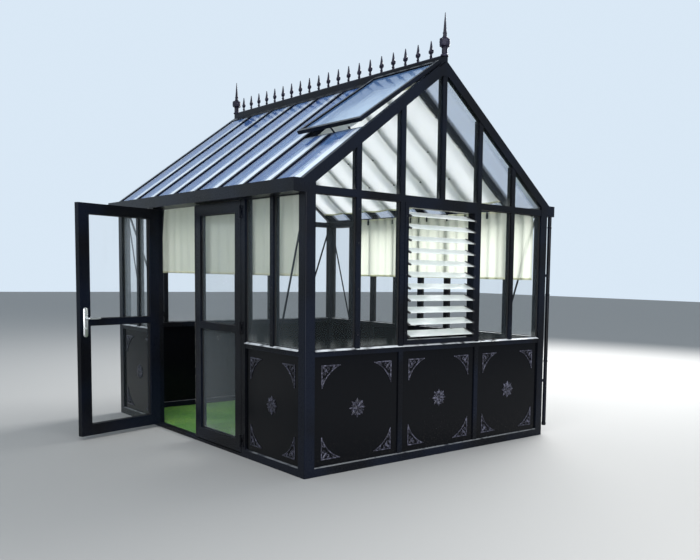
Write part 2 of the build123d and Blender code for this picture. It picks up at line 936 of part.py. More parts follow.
# Finials: an eight-sided column, a block collar and a spire. Rings of (height, radius)
finial_rings = [
    (0, finial_column + finial_foot),
    (finial_foot, finial_column + finial_foot),
    (2 * finial_foot, finial_column),
    (collar_low, finial_column),
    (collar_low + finial_foot, collar_radius),
    (collar_high - finial_foot, collar_radius),
    (collar_high, spire_radius),
    (finial_height, finial_tip),
]
with BuildPart() as finials:
    for end in (-1, 1):
        for (low, low_radius), (high, high_radius) in zip(finial_rings[:-1], finial_rings[1:]):
            with BuildSketch(Plane((0, end * crest_length / 2, ridge_top + low))):
                RegularPolygon(low_radius, 8, major_radius=False, rotation=22.5)
            with BuildSketch(Plane((0, end * crest_length / 2, ridge_top + high))):
                RegularPolygon(high_radius, 8, major_radius=False, rotation=22.5)
            loft()
finials.part.label = "finials"

# Louvre window: a frame, tilted glass blades and the clips that hold their ends
louvre_edge = module - mullion_width / 2
louvre_inner = louvre_edge - louvre_bar
louvre_low = sill_top + louvre_bar
louvre_high = beam_bottom - louvre_bar
louvre_frame_bars = [
    block(-louvre_edge, -louvre_inner, sill_top, beam_bottom),
    block(louvre_inner, louvre_edge, sill_top, beam_bottom),
    block(-louvre_inner, louvre_inner, sill_top, louvre_low),
    block(-louvre_inner, louvre_inner, louvre_high, beam_bottom),
]
louvre_bars = plates(front_wall, louvre_frame_bars, 0, louvre_depth)
with BuildPart() as louvre_frame:
    add(louvre_bars)
louvre_frame.part.label = "louvre_frame"

blade_pitch = (louvre_high - louvre_low) / louvre_blades_count
blade_depth = louvre_depth / 2
blade_heights = [louvre_low + (i + 0.5) * blade_pitch for i in range(louvre_blades_count)]
blade_half = louvre_inner - clip_wall - clip_play


def blade_bar(height, start, end, chord, thick):
    """A bar across the louvre, tilted with its lower edge outwards."""
    origin = front_wall.from_local_coords((start, height, -blade_depth))
    section = Plane(origin=origin, x_dir=-front_wall.z_dir, z_dir=front_wall.x_dir)
    with BuildPart() as made:
        with BuildSketch(section):
            Rectangle(thick, chord, rotation=-blade_tilt)
        extrude(amount=end - start)
    return made.part


blade_parts = [
    blade_bar(height, -blade_half, blade_half, blade_chord, blade_thickness)
    for height in blade_heights
]
with BuildPart() as louvre_blades:
    for blade in blade_parts:
        add(blade)
louvre_blades.part.label = "louvre_blades"
clip_chord = blade_chord + 2 * (clip_wall + clip_play)
clip_thick = blade_thickness + 2 * (clip_wall + clip_play)
pocket_chord = blade_chord + 2 * clip_play
pocket_thick = blade_thickness + 2 * clip_play
clip_inner = louvre_inner - clip_length
pocket_end = blade_half + clip_play
clip_parts = []
pocket_parts = []
for height in blade_heights:
    clip_parts.append(blade_bar(height, -louvre_inner, -clip_inner, clip_chord, clip_thick))
    clip_parts.append(blade_bar(height, clip_inner, louvre_inner, clip_chord, clip_thick))
    pocket_parts.append(blade_bar(height, -pocket_end, pocket_end, pocket_chord, pocket_thick))
with BuildPart() as louvre_clips:
    for clip in clip_parts:
        add(clip)
    for pocket in pocket_parts:
        add(pocket, mode=Mode.SUBTRACT)
louvre_clips.part.label = "louvre_clips"

# Door leaves. Both are made closed; the far leaf is then turned to its open rest
hinge_height_low = leaf_bottom + leaf_bottom_rail
hinge_height_high = leaf_top - leaf_top_rail
hinge_heights = [
    hinge_height_low + i * (hinge_height_high - hinge_height_low) / (hinge_count - 1)
    for i in range(hinge_count)
]
hinge_line = (leaf_hinge_edge + door_post_face) / 2
leaf_inner_free = leaf_free_edge + leaf_stile
leaf_inner_hinge = leaf_hinge_edge - leaf_stile
leaf_pane_low = leaf_bottom + leaf_bottom_rail
leaf_mid_low = leaf_mid_height - leaf_mid_rail / 2
leaf_mid_high = leaf_mid_height + leaf_mid_rail / 2
leaf_pane_high = leaf_top - leaf_top_rail
leaf_glass_front = (leaf_depth - glass_thickness) / 2


def leaf_frame(side):
    """A closed leaf's frame; side is 1 for the leaf nearer the front."""
    a, b = sorted((side * leaf_free_edge, side * leaf_hinge_edge))
    c, d = sorted((side * leaf_inner_free, side * leaf_inner_hinge))
    bite = glass_bite + groove_play
    slot_front = leaf_glass_front - groove_play
    holes = [
        block(c, d, leaf_pane_low, leaf_mid_low),
        block(c, d, leaf_mid_high, leaf_pane_high),
    ]
    slots = [
        block(c - bite, d + bite, leaf_pane_low - bite, leaf_mid_low + bite),
        block(c - bite, d + bite, leaf_mid_high - bite, leaf_pane_high + bite),
    ]
    cuts = [
        plates(left_wall, holes, 0, leaf_depth),
        plates(left_wall, slots, slot_front, slot_front + groove),
    ]
    with BuildPart() as made:
        add(plates(left_wall, [block(a, b, leaf_bottom, leaf_top)], 0, leaf_depth))
        for cut in cuts:
            add(cut, mode=Mode.SUBTRACT)
    return made.part


def leaf_panes(side):
    """The leaf's two panes, standing in the bottoms of their grooves."""
    c, d = sorted((side * leaf_inner_free, side * leaf_inner_hinge))
    seat = glass_bite + groove_play
    a = c - glass_bite
    b = d + glass_bite
    outlines = [
        block(a, b, leaf_pane_low - seat, leaf_mid_low + glass_bite),
        block(a, b, leaf_mid_high - seat, leaf_pane_high + glass_bite),
    ]
    return plates(left_wall, outlines, leaf_glass_front, leaf_glass_front + glass_thickness)


knuckle = (hinge_length - 2 * hinge_play) / 3


def hinge_plane(side, height):
    """A level plane on a leaf's hinge line."""
    return Plane(
        origin=left_wall.from_local_coords((side * hinge_line, height, hinge_offset)),
        z_dir=(0, 0, 1),
    )


def hinge_plates(side, reach, heights):
    """Flat plates from the hinge line outwards along the wall, one knuckle tall."""
    ends = (side * hinge_line, side * (hinge_line + reach))
    outlines = [block(*ends, low, low + knuckle) for low in heights]
    return plates(left_wall, outlines, -hinge_plate_thickness, 0)


def leaf_hinge_set(side):
    """The knuckles on the leaf, bored for the pins."""
    lows = [height - knuckle / 2 for height in hinge_heights]
    plate_set = hinge_plates(side, -hinge_plate_reach, lows)
    with BuildPart() as made:
        add(plate_set)
        for low in lows:
            with BuildSketch(hinge_plane(side, low)):
                Circle(hinge_barrel)
            extrude(amount=knuckle)
        for low in lows:
            with BuildSketch(hinge_plane(side, low)):
                Circle(hinge_pin + hinge_pin_play)
            extrude(amount=knuckle, mode=Mode.SUBTRACT)
    return made.part


def post_hinge_set(side):
    """The knuckles on the post, in pairs joined by the pins."""
    lows = [height - hinge_length / 2 for height in hinge_heights]
    pairs = lows + [low + hinge_length - knuckle for low in lows]
    plate_set = hinge_plates(side, hinge_plate_reach, pairs)
    with BuildPart() as made:
        add(plate_set)
        for low in pairs:
            with BuildSketch(hinge_plane(side, low)):
                Circle(hinge_barrel)
            extrude(amount=knuckle)
        for low in lows:
            with BuildSketch(hinge_plane(side, low)):
                Circle(hinge_pin)
            extrude(amount=hinge_length)
    return made.part


def lock_side(face, out):
    """A plate and a lever on one face of the far leaf; out is -1 outdoors, 1 indoors."""
    middle = -(leaf_free_edge + leaf_stile / 2)
    half_plate = lock_plate_height / 2
    half_bar = lever_section / 2
    low = leaf_mid_height - half_bar
    high = leaf_mid_height + half_bar
    plate_outline = upright(
        middle, lock_plate_width, leaf_mid_height - half_plate, leaf_mid_height + half_plate
    )
    plate_face = face + out * lock_plate_thickness
    lever_face = face + out * lever_standoff
    pieces = [
        plates(left_wall, [plate_outline], face, plate_face),
        plates(left_wall, [upright(middle, lever_section, low, high)], plate_face, lever_face),
        plates(
            left_wall,
            [block(middle - lever_length, middle, low, high)],
            lever_face - out * lever_section,
            lever_face,
        ),
    ]
    with BuildPart() as made:
        for piece in pieces:
            add(piece)
    return made.part


near_parts = [leaf_frame(1), leaf_panes(1), leaf_hinge_set(1)]
far_closed = [leaf_frame(-1), leaf_panes(-1), leaf_hinge_set(-1)]
lock_closed = [lock_side(0, -1), lock_side(leaf_depth, 1)]
far_hinge_axis = Axis(hinge_plane(-1, 0).origin, (0, 0, 1))
far_parts = [piece.rotate(far_hinge_axis, -far_leaf_open) for piece in far_closed]
lock_parts = [piece.rotate(far_hinge_axis, -far_leaf_open) for piece in lock_closed]
post_hinge_parts = [post_hinge_set(1), post_hinge_set(-1)]
with BuildPart() as near_leaf_frame:
    add(near_parts[0])
near_leaf_frame.part.label = "near_leaf_frame"
with BuildPart() as near_leaf_glass:
    add(near_parts[1])
near_leaf_glass.part.label = "near_leaf_glass"
with BuildPart() as near_leaf_hinges:
    add(near_parts[2])
near_leaf_hinges.part.label = "near_leaf_hinges"
with BuildPart() as far_leaf_frame:
    add(far_parts[0])
far_leaf_frame.part.label = "far_leaf_frame"
with BuildPart() as far_leaf_glass:
    add(far_parts[1])
far_leaf_glass.part.label = "far_leaf_glass"
with BuildPart() as far_leaf_hinges:
    add(far_parts[2])
far_leaf_hinges.part.label = "far_leaf_hinges"
with BuildPart() as far_leaf_lock:
    for piece in lock_parts:
        add(piece)
far_leaf_lock.part.label = "far_leaf_lock"
with BuildPart() as door_post_hinges:
    for piece in post_hinge_parts:
        add(piece)
door_post_hinges.part.label = "door_post_hinges"

# Wind braces inside the side walls and the back gable, from each post's head to the sill
def brace_outline(side, foot, head):
    """A flat bar that meets the sill at its foot and the post and beam at its head."""
    half = brace_width / 2
    rise = (beam_bottom - sill_top) / (head - foot)
    points = [
        (foot - half, sill_top),
        (foot + half, sill_top),
        (head, beam_bottom - half * rise),
        (head, beam_bottom),
        (head - half, beam_bottom),
    ]
    return [(side * u, v) for u, v in points]


side_braces = [brace_outline(side, max(deep_lines), inner_half_depth) for side in (1, -1)]
back_braces = [brace_outline(side, max(across_lines), inner_half_width) for side in (1, -1)]
brace_back = mullion_back + brace_thickness
brace_parts = [
    plates(left_wall, side_braces, mullion_back, brace_back),
    plates(right_wall, side_braces, mullion_back, brace_back),
    plates(back_wall, back_braces, mullion_back, brace_back),
]
with BuildPart() as wind_braces:
    for braces in brace_parts:
        add(braces)
wind_braces.part.label = "wind_braces"

# Downpipe under the gutter's outlet, clipped to the front right corner post
clip_heights = [(base_height + sill_top) / 2, (sill_top + beam_bottom) / 2]
with BuildPart() as downpipe:
    for height in clip_heights:
        with BuildSketch(Plane.XY.offset(height)):
            with Locations(((half_width + pipe_x) / 2, pipe_y)):
                Rectangle(pipe_x - half_width, pipe_clip_width)
        extrude(amount=pipe_clip_height)
    with BuildSketch(Plane.XY.offset(pipe_foot)):
        with Locations((pipe_x, pipe_y)):
            Circle(pipe_radius)
    extrude(amount=beam_bottom - pipe_foot)
    with BuildSketch(Plane.XY.offset(pipe_foot)):
        with Locations((pipe_x, pipe_y)):
            Circle(pipe_bore)
    extrude(amount=beam_bottom - pipe_foot, mode=Mode.SUBTRACT)
downpipe.part.label = "downpipe"

# Shade cloth under the rafters and hanging inside the side walls
roof_cloth_high = -roof_cloth_ridge_gap / slope_cos
roof_cloth_low = -(half_width - roof_cloth_eave_gap) / slope_cos
roof_cloth_front = -max(deep_lines)
roof_cloth_back = rake_grid - rake_ledge - cloth_play
roof_cloth_middle = (roof_cloth_front + roof_cloth_back) / 2


def roof_cloth(slope, middle):
    with BuildPart() as made:
        with BuildSketch(slope.offset(-rafter_depth - cloth_play)):
            with Locations((middle, (roof_cloth_high + roof_cloth_low) / 2)):
                Rectangle(roof_cloth_back - roof_cloth_front, roof_cloth_high - roof_cloth_low)
        extrude(amount=-cloth_thickness)
    return made.part


wall_cloth_front = post_side + cloth_play
left_cloth = plates(
    left_wall,
    [block(-left_cloth_end, inner_half_depth, cloth_bottom, wall_plate_top)],
    wall_cloth_front,
    wall_cloth_front + cloth_thickness,
)
right_cloth = plates(
    right_wall,
    [block(-inner_half_depth, right_cloth_end, cloth_bottom, wall_plate_top)],
    wall_cloth_front,
    wall_cloth_front + cloth_thickness,
)
roof_cloths = [
    roof_cloth(left_slope, -roof_cloth_middle),
    roof_cloth(right_slope, roof_cloth_middle),
]
with BuildPart() as roof_shade_left:
    add(roof_cloths[0])
roof_shade_left.part.label = "roof_shade_left"
with BuildPart() as roof_shade_right:
    add(roof_cloths[1])
roof_shade_right.part.label = "roof_shade_right"
with BuildPart() as wall_shade_left:
    add(left_cloth)
wall_shade_left.part.label = "wall_shade_left"
with BuildPart() as wall_shade_right:
    add(right_cloth)
wall_shade_right.part.label = "wall_shade_right"

# Turf mat on the floor
with BuildPart() as floor_mat:
    with BuildSketch():
        Rectangle(2 * (inner_half_width - floor_play), 2 * (inner_half_depth - floor_play))
    extrude(amount=floor_thickness)
floor_mat.part.label = "floor_mat"

finished = [
    base_rails,
    corner_posts,
    door_posts,
    sill_rails,
    gable_mullions,
    side_mullions,
    gutters,
    gutter_outlet,
    gable_cross_rails,
    gable_bars,
    gable_rakes,
    ridge_beam,
    rafters_left,
    rafters_right,
    roof_glass_left,
    roof_glass_right,
    vent_trimmer,
    vent_frame,
    vent_glass,
    vent_stay,
    front_glass,
    back_glass,
    right_glass,
    left_glass,
    gable_glass,
    lower_panels,
    panel_castings,
    ridge_cresting,
    finials,
    louvre_frame,
    louvre_blades,
    louvre_clips,
    near_leaf_frame,
    near_leaf_glass,
    near_leaf_hinges,
    far_leaf_frame,
    far_leaf_glass,
    far_leaf_hinges,
    far_leaf_lock,
    door_post_hinges,
    wind_braces,
    downpipe,
    roof_shade_left,
    roof_shade_right,
    wall_shade_left,
    wall_shade_right,
    floor_mat,
]

os.makedirs("parts", exist_ok=True)
for piece in finished:
    export_step(piece.part, f"parts/{piece.part.label}.step")
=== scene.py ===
import math
import random

import bpy
import bmesh
import numpy as np
from mathutils import Matrix, Vector


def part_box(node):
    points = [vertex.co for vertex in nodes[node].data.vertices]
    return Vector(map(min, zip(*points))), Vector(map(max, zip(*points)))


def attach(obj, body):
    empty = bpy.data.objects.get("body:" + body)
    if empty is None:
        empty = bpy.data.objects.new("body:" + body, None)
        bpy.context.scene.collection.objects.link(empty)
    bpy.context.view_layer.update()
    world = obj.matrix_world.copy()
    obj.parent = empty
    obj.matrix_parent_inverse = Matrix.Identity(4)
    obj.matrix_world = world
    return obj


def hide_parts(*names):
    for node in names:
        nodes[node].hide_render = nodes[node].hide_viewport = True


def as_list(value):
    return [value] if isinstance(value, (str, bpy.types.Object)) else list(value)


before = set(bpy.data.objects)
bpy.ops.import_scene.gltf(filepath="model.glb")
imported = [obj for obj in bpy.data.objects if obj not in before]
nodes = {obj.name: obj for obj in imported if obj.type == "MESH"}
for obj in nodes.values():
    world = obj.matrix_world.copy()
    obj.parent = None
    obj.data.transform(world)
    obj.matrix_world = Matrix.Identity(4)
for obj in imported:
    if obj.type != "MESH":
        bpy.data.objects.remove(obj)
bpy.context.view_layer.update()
print("frame loaded:", len(nodes), "nodes")

# The building's own measures, in metres
house = {
    "module": 0.370,
    "halfWidth": 1.150,
    "halfDepth": 1.520,
    "mullion": 0.040,
    "sillTop": 0.815,
    "beamBottom": 1.794,
    "pitch": math.radians(38.5),
}
slopeCos = math.cos(house["pitch"])
slopeSin = math.sin(house["pitch"])
barLines = [k * house["module"] for k in range(-3, 4)]  # glazing bars and rafters along a side


# Camera, standing where the photograph was taken from
cameraStand = {
    "place": (-3.8265, -5.6771, 1.3002),
    "yaw": math.radians(43.287),
    "pitch": math.radians(-4.688),
    "roll": math.radians(1.152),
    "lens": 40.36,
    "shift": (-0.14286, 0.08571),
}


def setCamera(stand):
    a, b, c = stand["yaw"], stand["pitch"], stand["roll"]
    ahead = Vector((math.sin(a) * math.cos(b), math.cos(a) * math.cos(b), math.sin(b)))
    level = Vector((math.cos(a), -math.sin(a), 0))
    above = level.cross(ahead)
    right = math.cos(c) * level + math.sin(c) * above
    up = math.cos(c) * above - math.sin(c) * level
    data = bpy.data.cameras.new("camera")
    data.lens = stand["lens"]
    data.sensor_width = 36
    data.shift_x, data.shift_y = stand["shift"]
    data.clip_end = 200
    camera = bpy.data.objects.new("camera", data)
    turn = Matrix((right, up, -ahead)).transposed().to_4x4()
    camera.matrix_world = Matrix.Translation(stand["place"]) @ turn
    bpy.context.scene.collection.objects.link(camera)
    bpy.context.scene.camera = camera


setCamera(cameraStand)
bpy.context.scene.view_settings.view_transform = "Standard"
print("camera set")


# A socket that takes Python's own operators, so that shader maths reads as sums
class Signal:
    def __init__(self, tree, socket):
        self.tree = tree
        self.socket = socket

    def __add__(self, other):
        return self.tree.maths("ADD", self, other)

    def __radd__(self, other):
        return self.tree.maths("ADD", other, self)

    def __sub__(self, other):
        return self.tree.maths("SUBTRACT", self, other)

    def __rsub__(self, other):
        return self.tree.maths("SUBTRACT", other, self)

    def __mul__(self, other):
        return self.tree.maths("MULTIPLY", self, other)

    def __rmul__(self, other):
        return self.tree.maths("MULTIPLY", other, self)

    def __truediv__(self, other):
        return self.tree.maths("DIVIDE", self, other)

    def __rtruediv__(self, other):
        return self.tree.maths("DIVIDE", other, self)

    def __pow__(self, other):
        return self.tree.maths("POWER", self, other)

    def __abs__(self):
        return self.tree.maths("ABSOLUTE", self)


# One node tree, of a material or of a modifier, and the ways to add nodes to it
class NodeTree:
    def __init__(self, tree, prefix):
        self.tree = tree
        self.prefix = prefix

    def node(self, kind, settings=None, sockets=None, out=0):
        made = self.tree.nodes.new(self.prefix.get(kind, self.prefix[""]) + kind)
        for key, value in (settings or {}).items():
            if key == "stops":
                self.setStops(made, value)
            else:
                setattr(made, key, value)
        for key, value in (sockets or {}).items():
            self.join(made.inputs[key], value)
        return Signal(self, made.outputs[out]) if made.outputs else made

    def setStops(self, made, stops):
        ramp = made.color_ramp
        while len(ramp.elements) < len(stops):
            ramp.elements.new(1.0)
        for element, (place, colour) in zip(ramp.elements, stops):
            element.position = place
            element.color = (*colour, 1.0)

    def join(self, socket, value):
        if isinstance(value, Signal):
            self.tree.links.new(value.socket, socket)
        elif isinstance(value, (tuple, list)) and len(value) == 3 and len(socket.default_value) == 4:
            socket.default_value = (*value, 1.0)
        else:
            socket.default_value = value

    def maths(self, operation, *values):
        sockets = {i: v for i, v in enumerate(values)}
        return self.node("Math", {"operation": operation}, sockets)


# A modifier's tree: the same ways to add nodes, with named inputs
class GrowTree(NodeTree):
    def __init__(self, name, inlets):
        tree = bpy.data.node_groups.new(name, "GeometryNodeTree")
        shared = {"Math": "ShaderNode", "CombineXYZ": "ShaderNode"}
        functions = {key: "FunctionNode" for key in ("RandomValue", "EulerToRotation")}
        super().__init__(tree, {"": "GeometryNode", **shared, **functions})
        self.sockets = {}
        for key, (kind, value) in inlets.items():
            kind = "NodeSocket" + kind
            made = tree.interface.new_socket(name=key, in_out="INPUT", socket_type=kind)
            if value is not None:
                made.default_value = value
            self.sockets[key] = made.identifier
        ends = tree.nodes.new("NodeGroupInput")
        self.given = {socket.name: Signal(self, socket) for socket in ends.outputs if socket.name}

    # copies of a sample on every point, made real and given their finish
    def strew(self, points, sample, angles, size):
        turn = self.node("EulerToRotation", sockets={0: angles})
        sockets = {"Points": points, "Instance": sample, "Rotation": turn, "Scale": size}
        copies = self.node("InstanceOnPoints", sockets=sockets)
        real = self.node("RealizeInstances", sockets={0: copies})
        shape = self.node("SetMaterial", sockets={"Geometry": real, "Material": self.given["finish"]})
        kind = "NodeSocketGeometry"
        self.tree.interface.new_socket(name="shape", in_out="OUTPUT", socket_type=kind)
        ends = self.tree.nodes.new("NodeGroupOutput")
        self.tree.links.new(shape.socket, ends.inputs[0])

    def grow(self, base, values):
        modifier = base.modifiers.new(self.tree.name, "NODES")
        modifier.node_group = self.tree
        for name, value in values.items():
            modifier[self.sockets[name]] = value
        graph = bpy.context.evaluated_depsgraph_get()
        mesh = bpy.data.meshes.new_from_object(base.evaluated_get(graph), depsgraph=graph)
        base.modifiers.remove(modifier)
        return mesh


# A material's tree, with the nodes that its finish is made of
class Finish(NodeTree):
    def __init__(self, name):
        self.material = bpy.data.materials.new(name)
        self.material.use_nodes = True
        self.material.node_tree.nodes.clear()
        super().__init__(self.material.node_tree, {"": "ShaderNode"})

    def place(self):
        return self.node("TexCoord", out="Object")

    def axes(self, vector):
        split = self.node("SeparateXYZ", sockets={0: vector}).socket.node
        return [Signal(self, split.outputs[i]) for i in range(3)]

    def scaled(self, vector, factors):
        return self.node("VectorMath", {"operation": "MULTIPLY"}, {0: vector, 1: factors})

    def noise(self, vector, scale, detail=3.0, rough=0.5):
        sockets = {"Vector": vector, "Scale": scale, "Detail": detail, "Roughness": rough}
        return self.node("TexNoise", sockets=sockets)

    # from 0 at low to 1 at high, or the other way where low is the greater
    def between(self, value, low, high):
        sockets = {"Value": value, "From Min": low, "From Max": high}
        return self.node("MapRange", {"interpolation_type": "SMOOTHSTEP"}, sockets)

    def mix(self, factor, first, second):
        return self.node("Mix", {"data_type": "RGBA"}, {0: factor, 6: first, 7: second}, out=2)

    def bump(self, height, strength, distance):
        sockets = {"Height": height, "Strength": strength, "Distance": distance}
        return self.node("Bump", sockets=sockets)

    # Share of light mirrored at a slant, the same from both sides of a pane
    def slant(self, square=0.04, power=5, strength=1.0):
        away = self.node("LayerWeight", sockets={"Blend": 0.5}, out="Facing")
        return self.maths("MINIMUM", square + (1 - square) * strength * away**power, 1.0)

    def shade(self, sockets):
        return self.node("BsdfPrincipled", sockets=sockets)

    def done(self, shader):
        output = self.tree.nodes.new("ShaderNodeOutputMaterial")
        self.tree.links.new(shader.socket, output.inputs["Surface"])
        return self.material

    def shaded(self, sockets):
        return self.done(self.shade(sockets))


# Floor, world and lamps
studio = {
    "floor": ((0.34, 0.335, 0.325), (0.31, 0.31, 0.31)),
    "reach": 40,
    "world": (0.76, 0.88, 1.0),
    "worldStrength": 0.64,
    "backdropStrength": 0.92,
    "aim": (0, 0, 1.2),
    "lamps": {  # place, power and size
        "key_lamp": ((6.5, 1.5, 5.8), 1550, 6.5),
        "fill_lamp": ((-5.5, -4.5, 7.0), 380, 5.0),
        "front_lamp": ((-1.2, -7.8, 1.6), 330, 3.2),
    },
}


def layFloor(facts):
    mesh = bpy.data.meshes.new("studio_floor")
    reach = facts["reach"]
    corners = [(-reach, -reach, 0), (reach, -reach, 0), (reach, reach, 0), (-reach, reach, 0)]
    mesh.from_pydata(corners, [], [(0, 1, 2, 3)])
    floor = bpy.data.objects.new("studio_floor", mesh)
    bpy.context.scene.collection.objects.link(floor)
    paper = Finish("studio_paper")
    soft = paper.noise(paper.place(), 3.0)
    colour = paper.mix(soft * 0.06, *facts["floor"])
    mesh.materials.append(paper.shaded({"Base Color": colour, "Roughness": 0.9}))


# The world lights evenly and shows brighter to the camera, in gloss and through glass
def lightWorld(facts):
    world = bpy.data.worlds.new("studio_world")
    world.use_nodes = True
    sky = NodeTree(world.node_tree, {"": "ShaderNode"})
    path = sky.node("LightPath").socket.node
    seen = Signal(sky, path.outputs["Is Camera Ray"])
    for ray in ("Is Glossy Ray", "Is Transmission Ray"):
        seen = sky.maths("MAXIMUM", seen, Signal(sky, path.outputs[ray]))
    back = world.node_tree.nodes["Background"]
    back.inputs["Color"].default_value = (*facts["world"], 1)
    lift = facts["backdropStrength"] - facts["worldStrength"]
    sky.join(back.inputs["Strength"], facts["worldStrength"] + lift * seen)
    bpy.context.scene.world = world


def hangLamps(facts):
    for name, (place, power, size) in facts["lamps"].items():
        data = bpy.data.lights.new(name, "AREA")
        data.energy = power
        data.size = size
        lamp = bpy.data.objects.new(name, data)
        lamp.location = place
        aim = Vector(facts["aim"]) - Vector(place)
        lamp.rotation_euler = aim.to_track_quat("-Z", "Y").to_euler()
        bpy.context.scene.collection.objects.link(lamp)


layFloor(studio)
lightWorld(studio)
hangLamps(studio)
print("studio set")


# Gloss powder coat on the frame: near black with a blue cast, with a pale painted highlight along the
# sill ledge and the base's foot
coatFacts = {
    "dark": (0.0030, 0.0034, 0.0050),
    "blue": (0.0040, 0.0060, 0.0125),
    "dust": (0.055, 0.055, 0.052),
    # pale colour of the painted highlight on the sill ledge and the base's foot
    "ledgeHighlight": (0.62, 0.64, 0.66),
    "ledge": 0.8095,
    "foot": 0.057,
    "peelScale": 900,
    "roughness": (0.24, 0.38),
}


def powderCoat(name, facts):
    f = Finish(name)
    place = f.place()
    z = f.axes(place)[2]
    nz = f.axes(f.node("NewGeometry", out="Normal"))[2]
    cloud = f.noise(place, 2.3, 2)
    grain = f.noise(place, 160, 4)
    colour = f.mix(f.between(cloud, 0.35, 0.65), facts["dark"], facts["blue"])
    dusty = f.between(nz, 0.6, 1.0) * f.between(grain, 0.42, 0.75) * 0.4
    splash = f.between(z, 0.35, 0.0) * f.between(grain, 0.50, 0.74) * 0.25
    colour = f.mix(f.maths("MAXIMUM", dusty, splash), colour, facts["dust"])
    # painted highlight: pale lines on the sill ledge's top and the base's foot, broken up by noise
    highlightBreakup = f.between(f.noise(place, 11, 3), 0.30, 0.52)
    ledge = f.between(abs(z - facts["ledge"]), 0.0085, 0.0060) * f.between(nz, 0.80, 0.90)
    foot = f.between(abs(z - facts["foot"]), 0.0045, 0.0030) * f.between(nz, 0.45, 0.60) * 0.2
    ledgeHighlight = f.maths("MAXIMUM", ledge, foot) * highlightBreakup
    colour = f.mix(ledgeHighlight, colour, facts["ledgeHighlight"])
    low, high = facts["roughness"]
    rough = low + (high - low) * f.between(grain, 0.3, 0.7) + dusty * 0.3
    peel = f.noise(place, facts["peelScale"], 1)
    return f.shaded(
        {
            "Base Color": colour,
            "Roughness": rough,
            "Specular IOR Level": 0.10,
            "Normal": f.bump(peel, 0.12, 0.0004),
        }
    )


# Clear panes: open when seen square on, with a painted pale reflection at a slant, with dust at each
# foot
paneFacts = {
    "clear": (0.12, 0.15, 0.16),
    "mirror": (0.80, 0.88, 0.93),
    "dust": (0.70, 0.72, 0.68),
    "alpha": 0.010,
    "slant": 0.75,
}


def clearGlass(name, facts, foot=0.82):
    f = Finish(name)
    place = f.place()
    z = f.axes(place)[2]
    smear = f.noise(f.scaled(place, (1.0, 1.0, 0.25)), 9, 4, 0.6)
    low = f.between(z, foot + 0.07, foot) * f.between(smear, 0.38, 0.62)
    cloud = f.between(smear, 0.5, 0.9) * 0.02
    dirt = f.maths("MAXIMUM", low * 0.06, cloud)
    # painted reflection: at a slant the base colour pales towards the mirror colour and the pane grows
    # more opaque
    mirror = f.slant(0.03, 4, 1.7) * facts["slant"]
    colour = f.mix(f.between(mirror, 0.05, 0.4), facts["clear"], facts["mirror"])
    return f.shaded(
        {
            "Base Color": f.mix(dirt * 8, colour, facts["dust"]),
            "Roughness": 0.03 + dirt,
            "IOR": 1.5,
            "Specular IOR Level": 0.9,
            "Alpha": facts["alpha"] + dirt + mirror,
        }
    )


# Roof panes, painted with the sky's reflection: blue grey, with a white run of painted reflection on
# one side of every cap and a painted shadow band beside the next cap
roofFacts = {
    "sky": (0.06, 0.15, 0.46),
    "grey": (0.20, 0.36, 0.66),
    "run": (0.84, 0.92, 1.0),
    "shade": (0.012, 0.020, 0.060),
    "alpha": 0.17,
}


def skyGlass(name, facts):
    f = Finish(name)
    place = f.place()
    y, z = f.axes(place)[1:]
    lane = f.maths("FRACT", (y + 8 * house["module"]) / house["module"])
    streaky = f.noise(f.scaled(place, (1.2, 9.0, 1.2)), 4, 5, 0.6)
    eaves = f.between(z, 2.45, 1.95)
    # painted reflection: a white run beside one side of every cap, stronger towards the eaves
    run = f.between(lane, 0.42, 0.20) * f.between(lane, 0.04, 0.10) * f.between(streaky, 0.25, 0.50)
    run = f.maths("MINIMUM", run * (0.8 + 0.6 * eaves), 1.0)
    # painted shadow: a dark band in each lane beside the next cap
    under = f.between(lane, 0.80, 0.90)
    tint = f.mix(f.between(streaky, 0.38, 0.62), facts["sky"], facts["grey"])
    colour = f.mix(under, f.mix(run, tint, facts["run"]), facts["shade"])
    mirror = f.slant(0.06)
    alpha = facts["alpha"] + run * (0.20 + 0.35 * eaves) + 0.4 * under + 0.9 * mirror
    return f.shaded(
        {
            "Base Color": colour,
            "Roughness": 0.06 + 0.10 * f.between(streaky, 0.4, 0.8),
            "Specular IOR Level": 0.5,
            "Alpha": alpha,
        }
    )


# The raised vent carries a painted reflection of the open sky: blue that pales towards its lower corner
ventFacts = {
    "deep": (0.15, 0.28, 0.54),
    "pale": (0.50, 0.66, 0.86),
    "alpha": 0.56,
}


def ventGlass(name, facts):
    f = Finish(name)
    place = f.place()
    y, z = f.axes(place)[1:]
    low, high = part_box("vent_glass")
    across = (y - low.y) / (high.y - low.y)
    up = (z - low.z) / (high.z - low.z)
    wisp = f.noise(place, 5, 4, 0.55)
    pale = f.between(1.15 - across * 0.75 - up * 0.55 + (wisp - 0.5) * 0.6, 0.25, 0.95)
    colour = f.mix(pale, facts["deep"], facts["pale"])
    return f.shaded(
        {
            "Base Color": colour,
            "Roughness": 0.10,
            "Specular IOR Level": 0.3,
            "Alpha": facts["alpha"] + 0.1 * pale,
        }
    )


# Louvre blades: obscured glass, half open to what hangs behind
bladeFacts = {"body": (0.84, 0.90, 0.88), "bright": (0.93, 0.96, 0.95), "alpha": 0.46}


def bladeGlass(name, facts):
    f = Finish(name)
    place = f.place()
    pebble = f.node("TexVoronoi", sockets={"Vector": place, "Scale": 260})
    haze = f.noise(place, 7, 3)
    mirror = f.slant()
    colour = f.mix(f.between(haze, 0.3, 0.7), facts["body"], facts["bright"])
    return f.shaded(
        {
            "Base Color": colour,
            "Roughness": 0.14 + 0.12 * haze,
            "Specular IOR Level": 0.7,
            "Alpha": facts["alpha"] + 0.10 * haze + 0.6 * mirror,
            "Normal": f.bump(pebble, 0.25, 0.0006),
        }
    )


# Solid lower panels: smooth dark sheet, splashed towards the ground
panelFacts = {"sheet": (0.0028, 0.0032, 0.0044), "splash": (0.05, 0.045, 0.038), "roughness": 0.16}


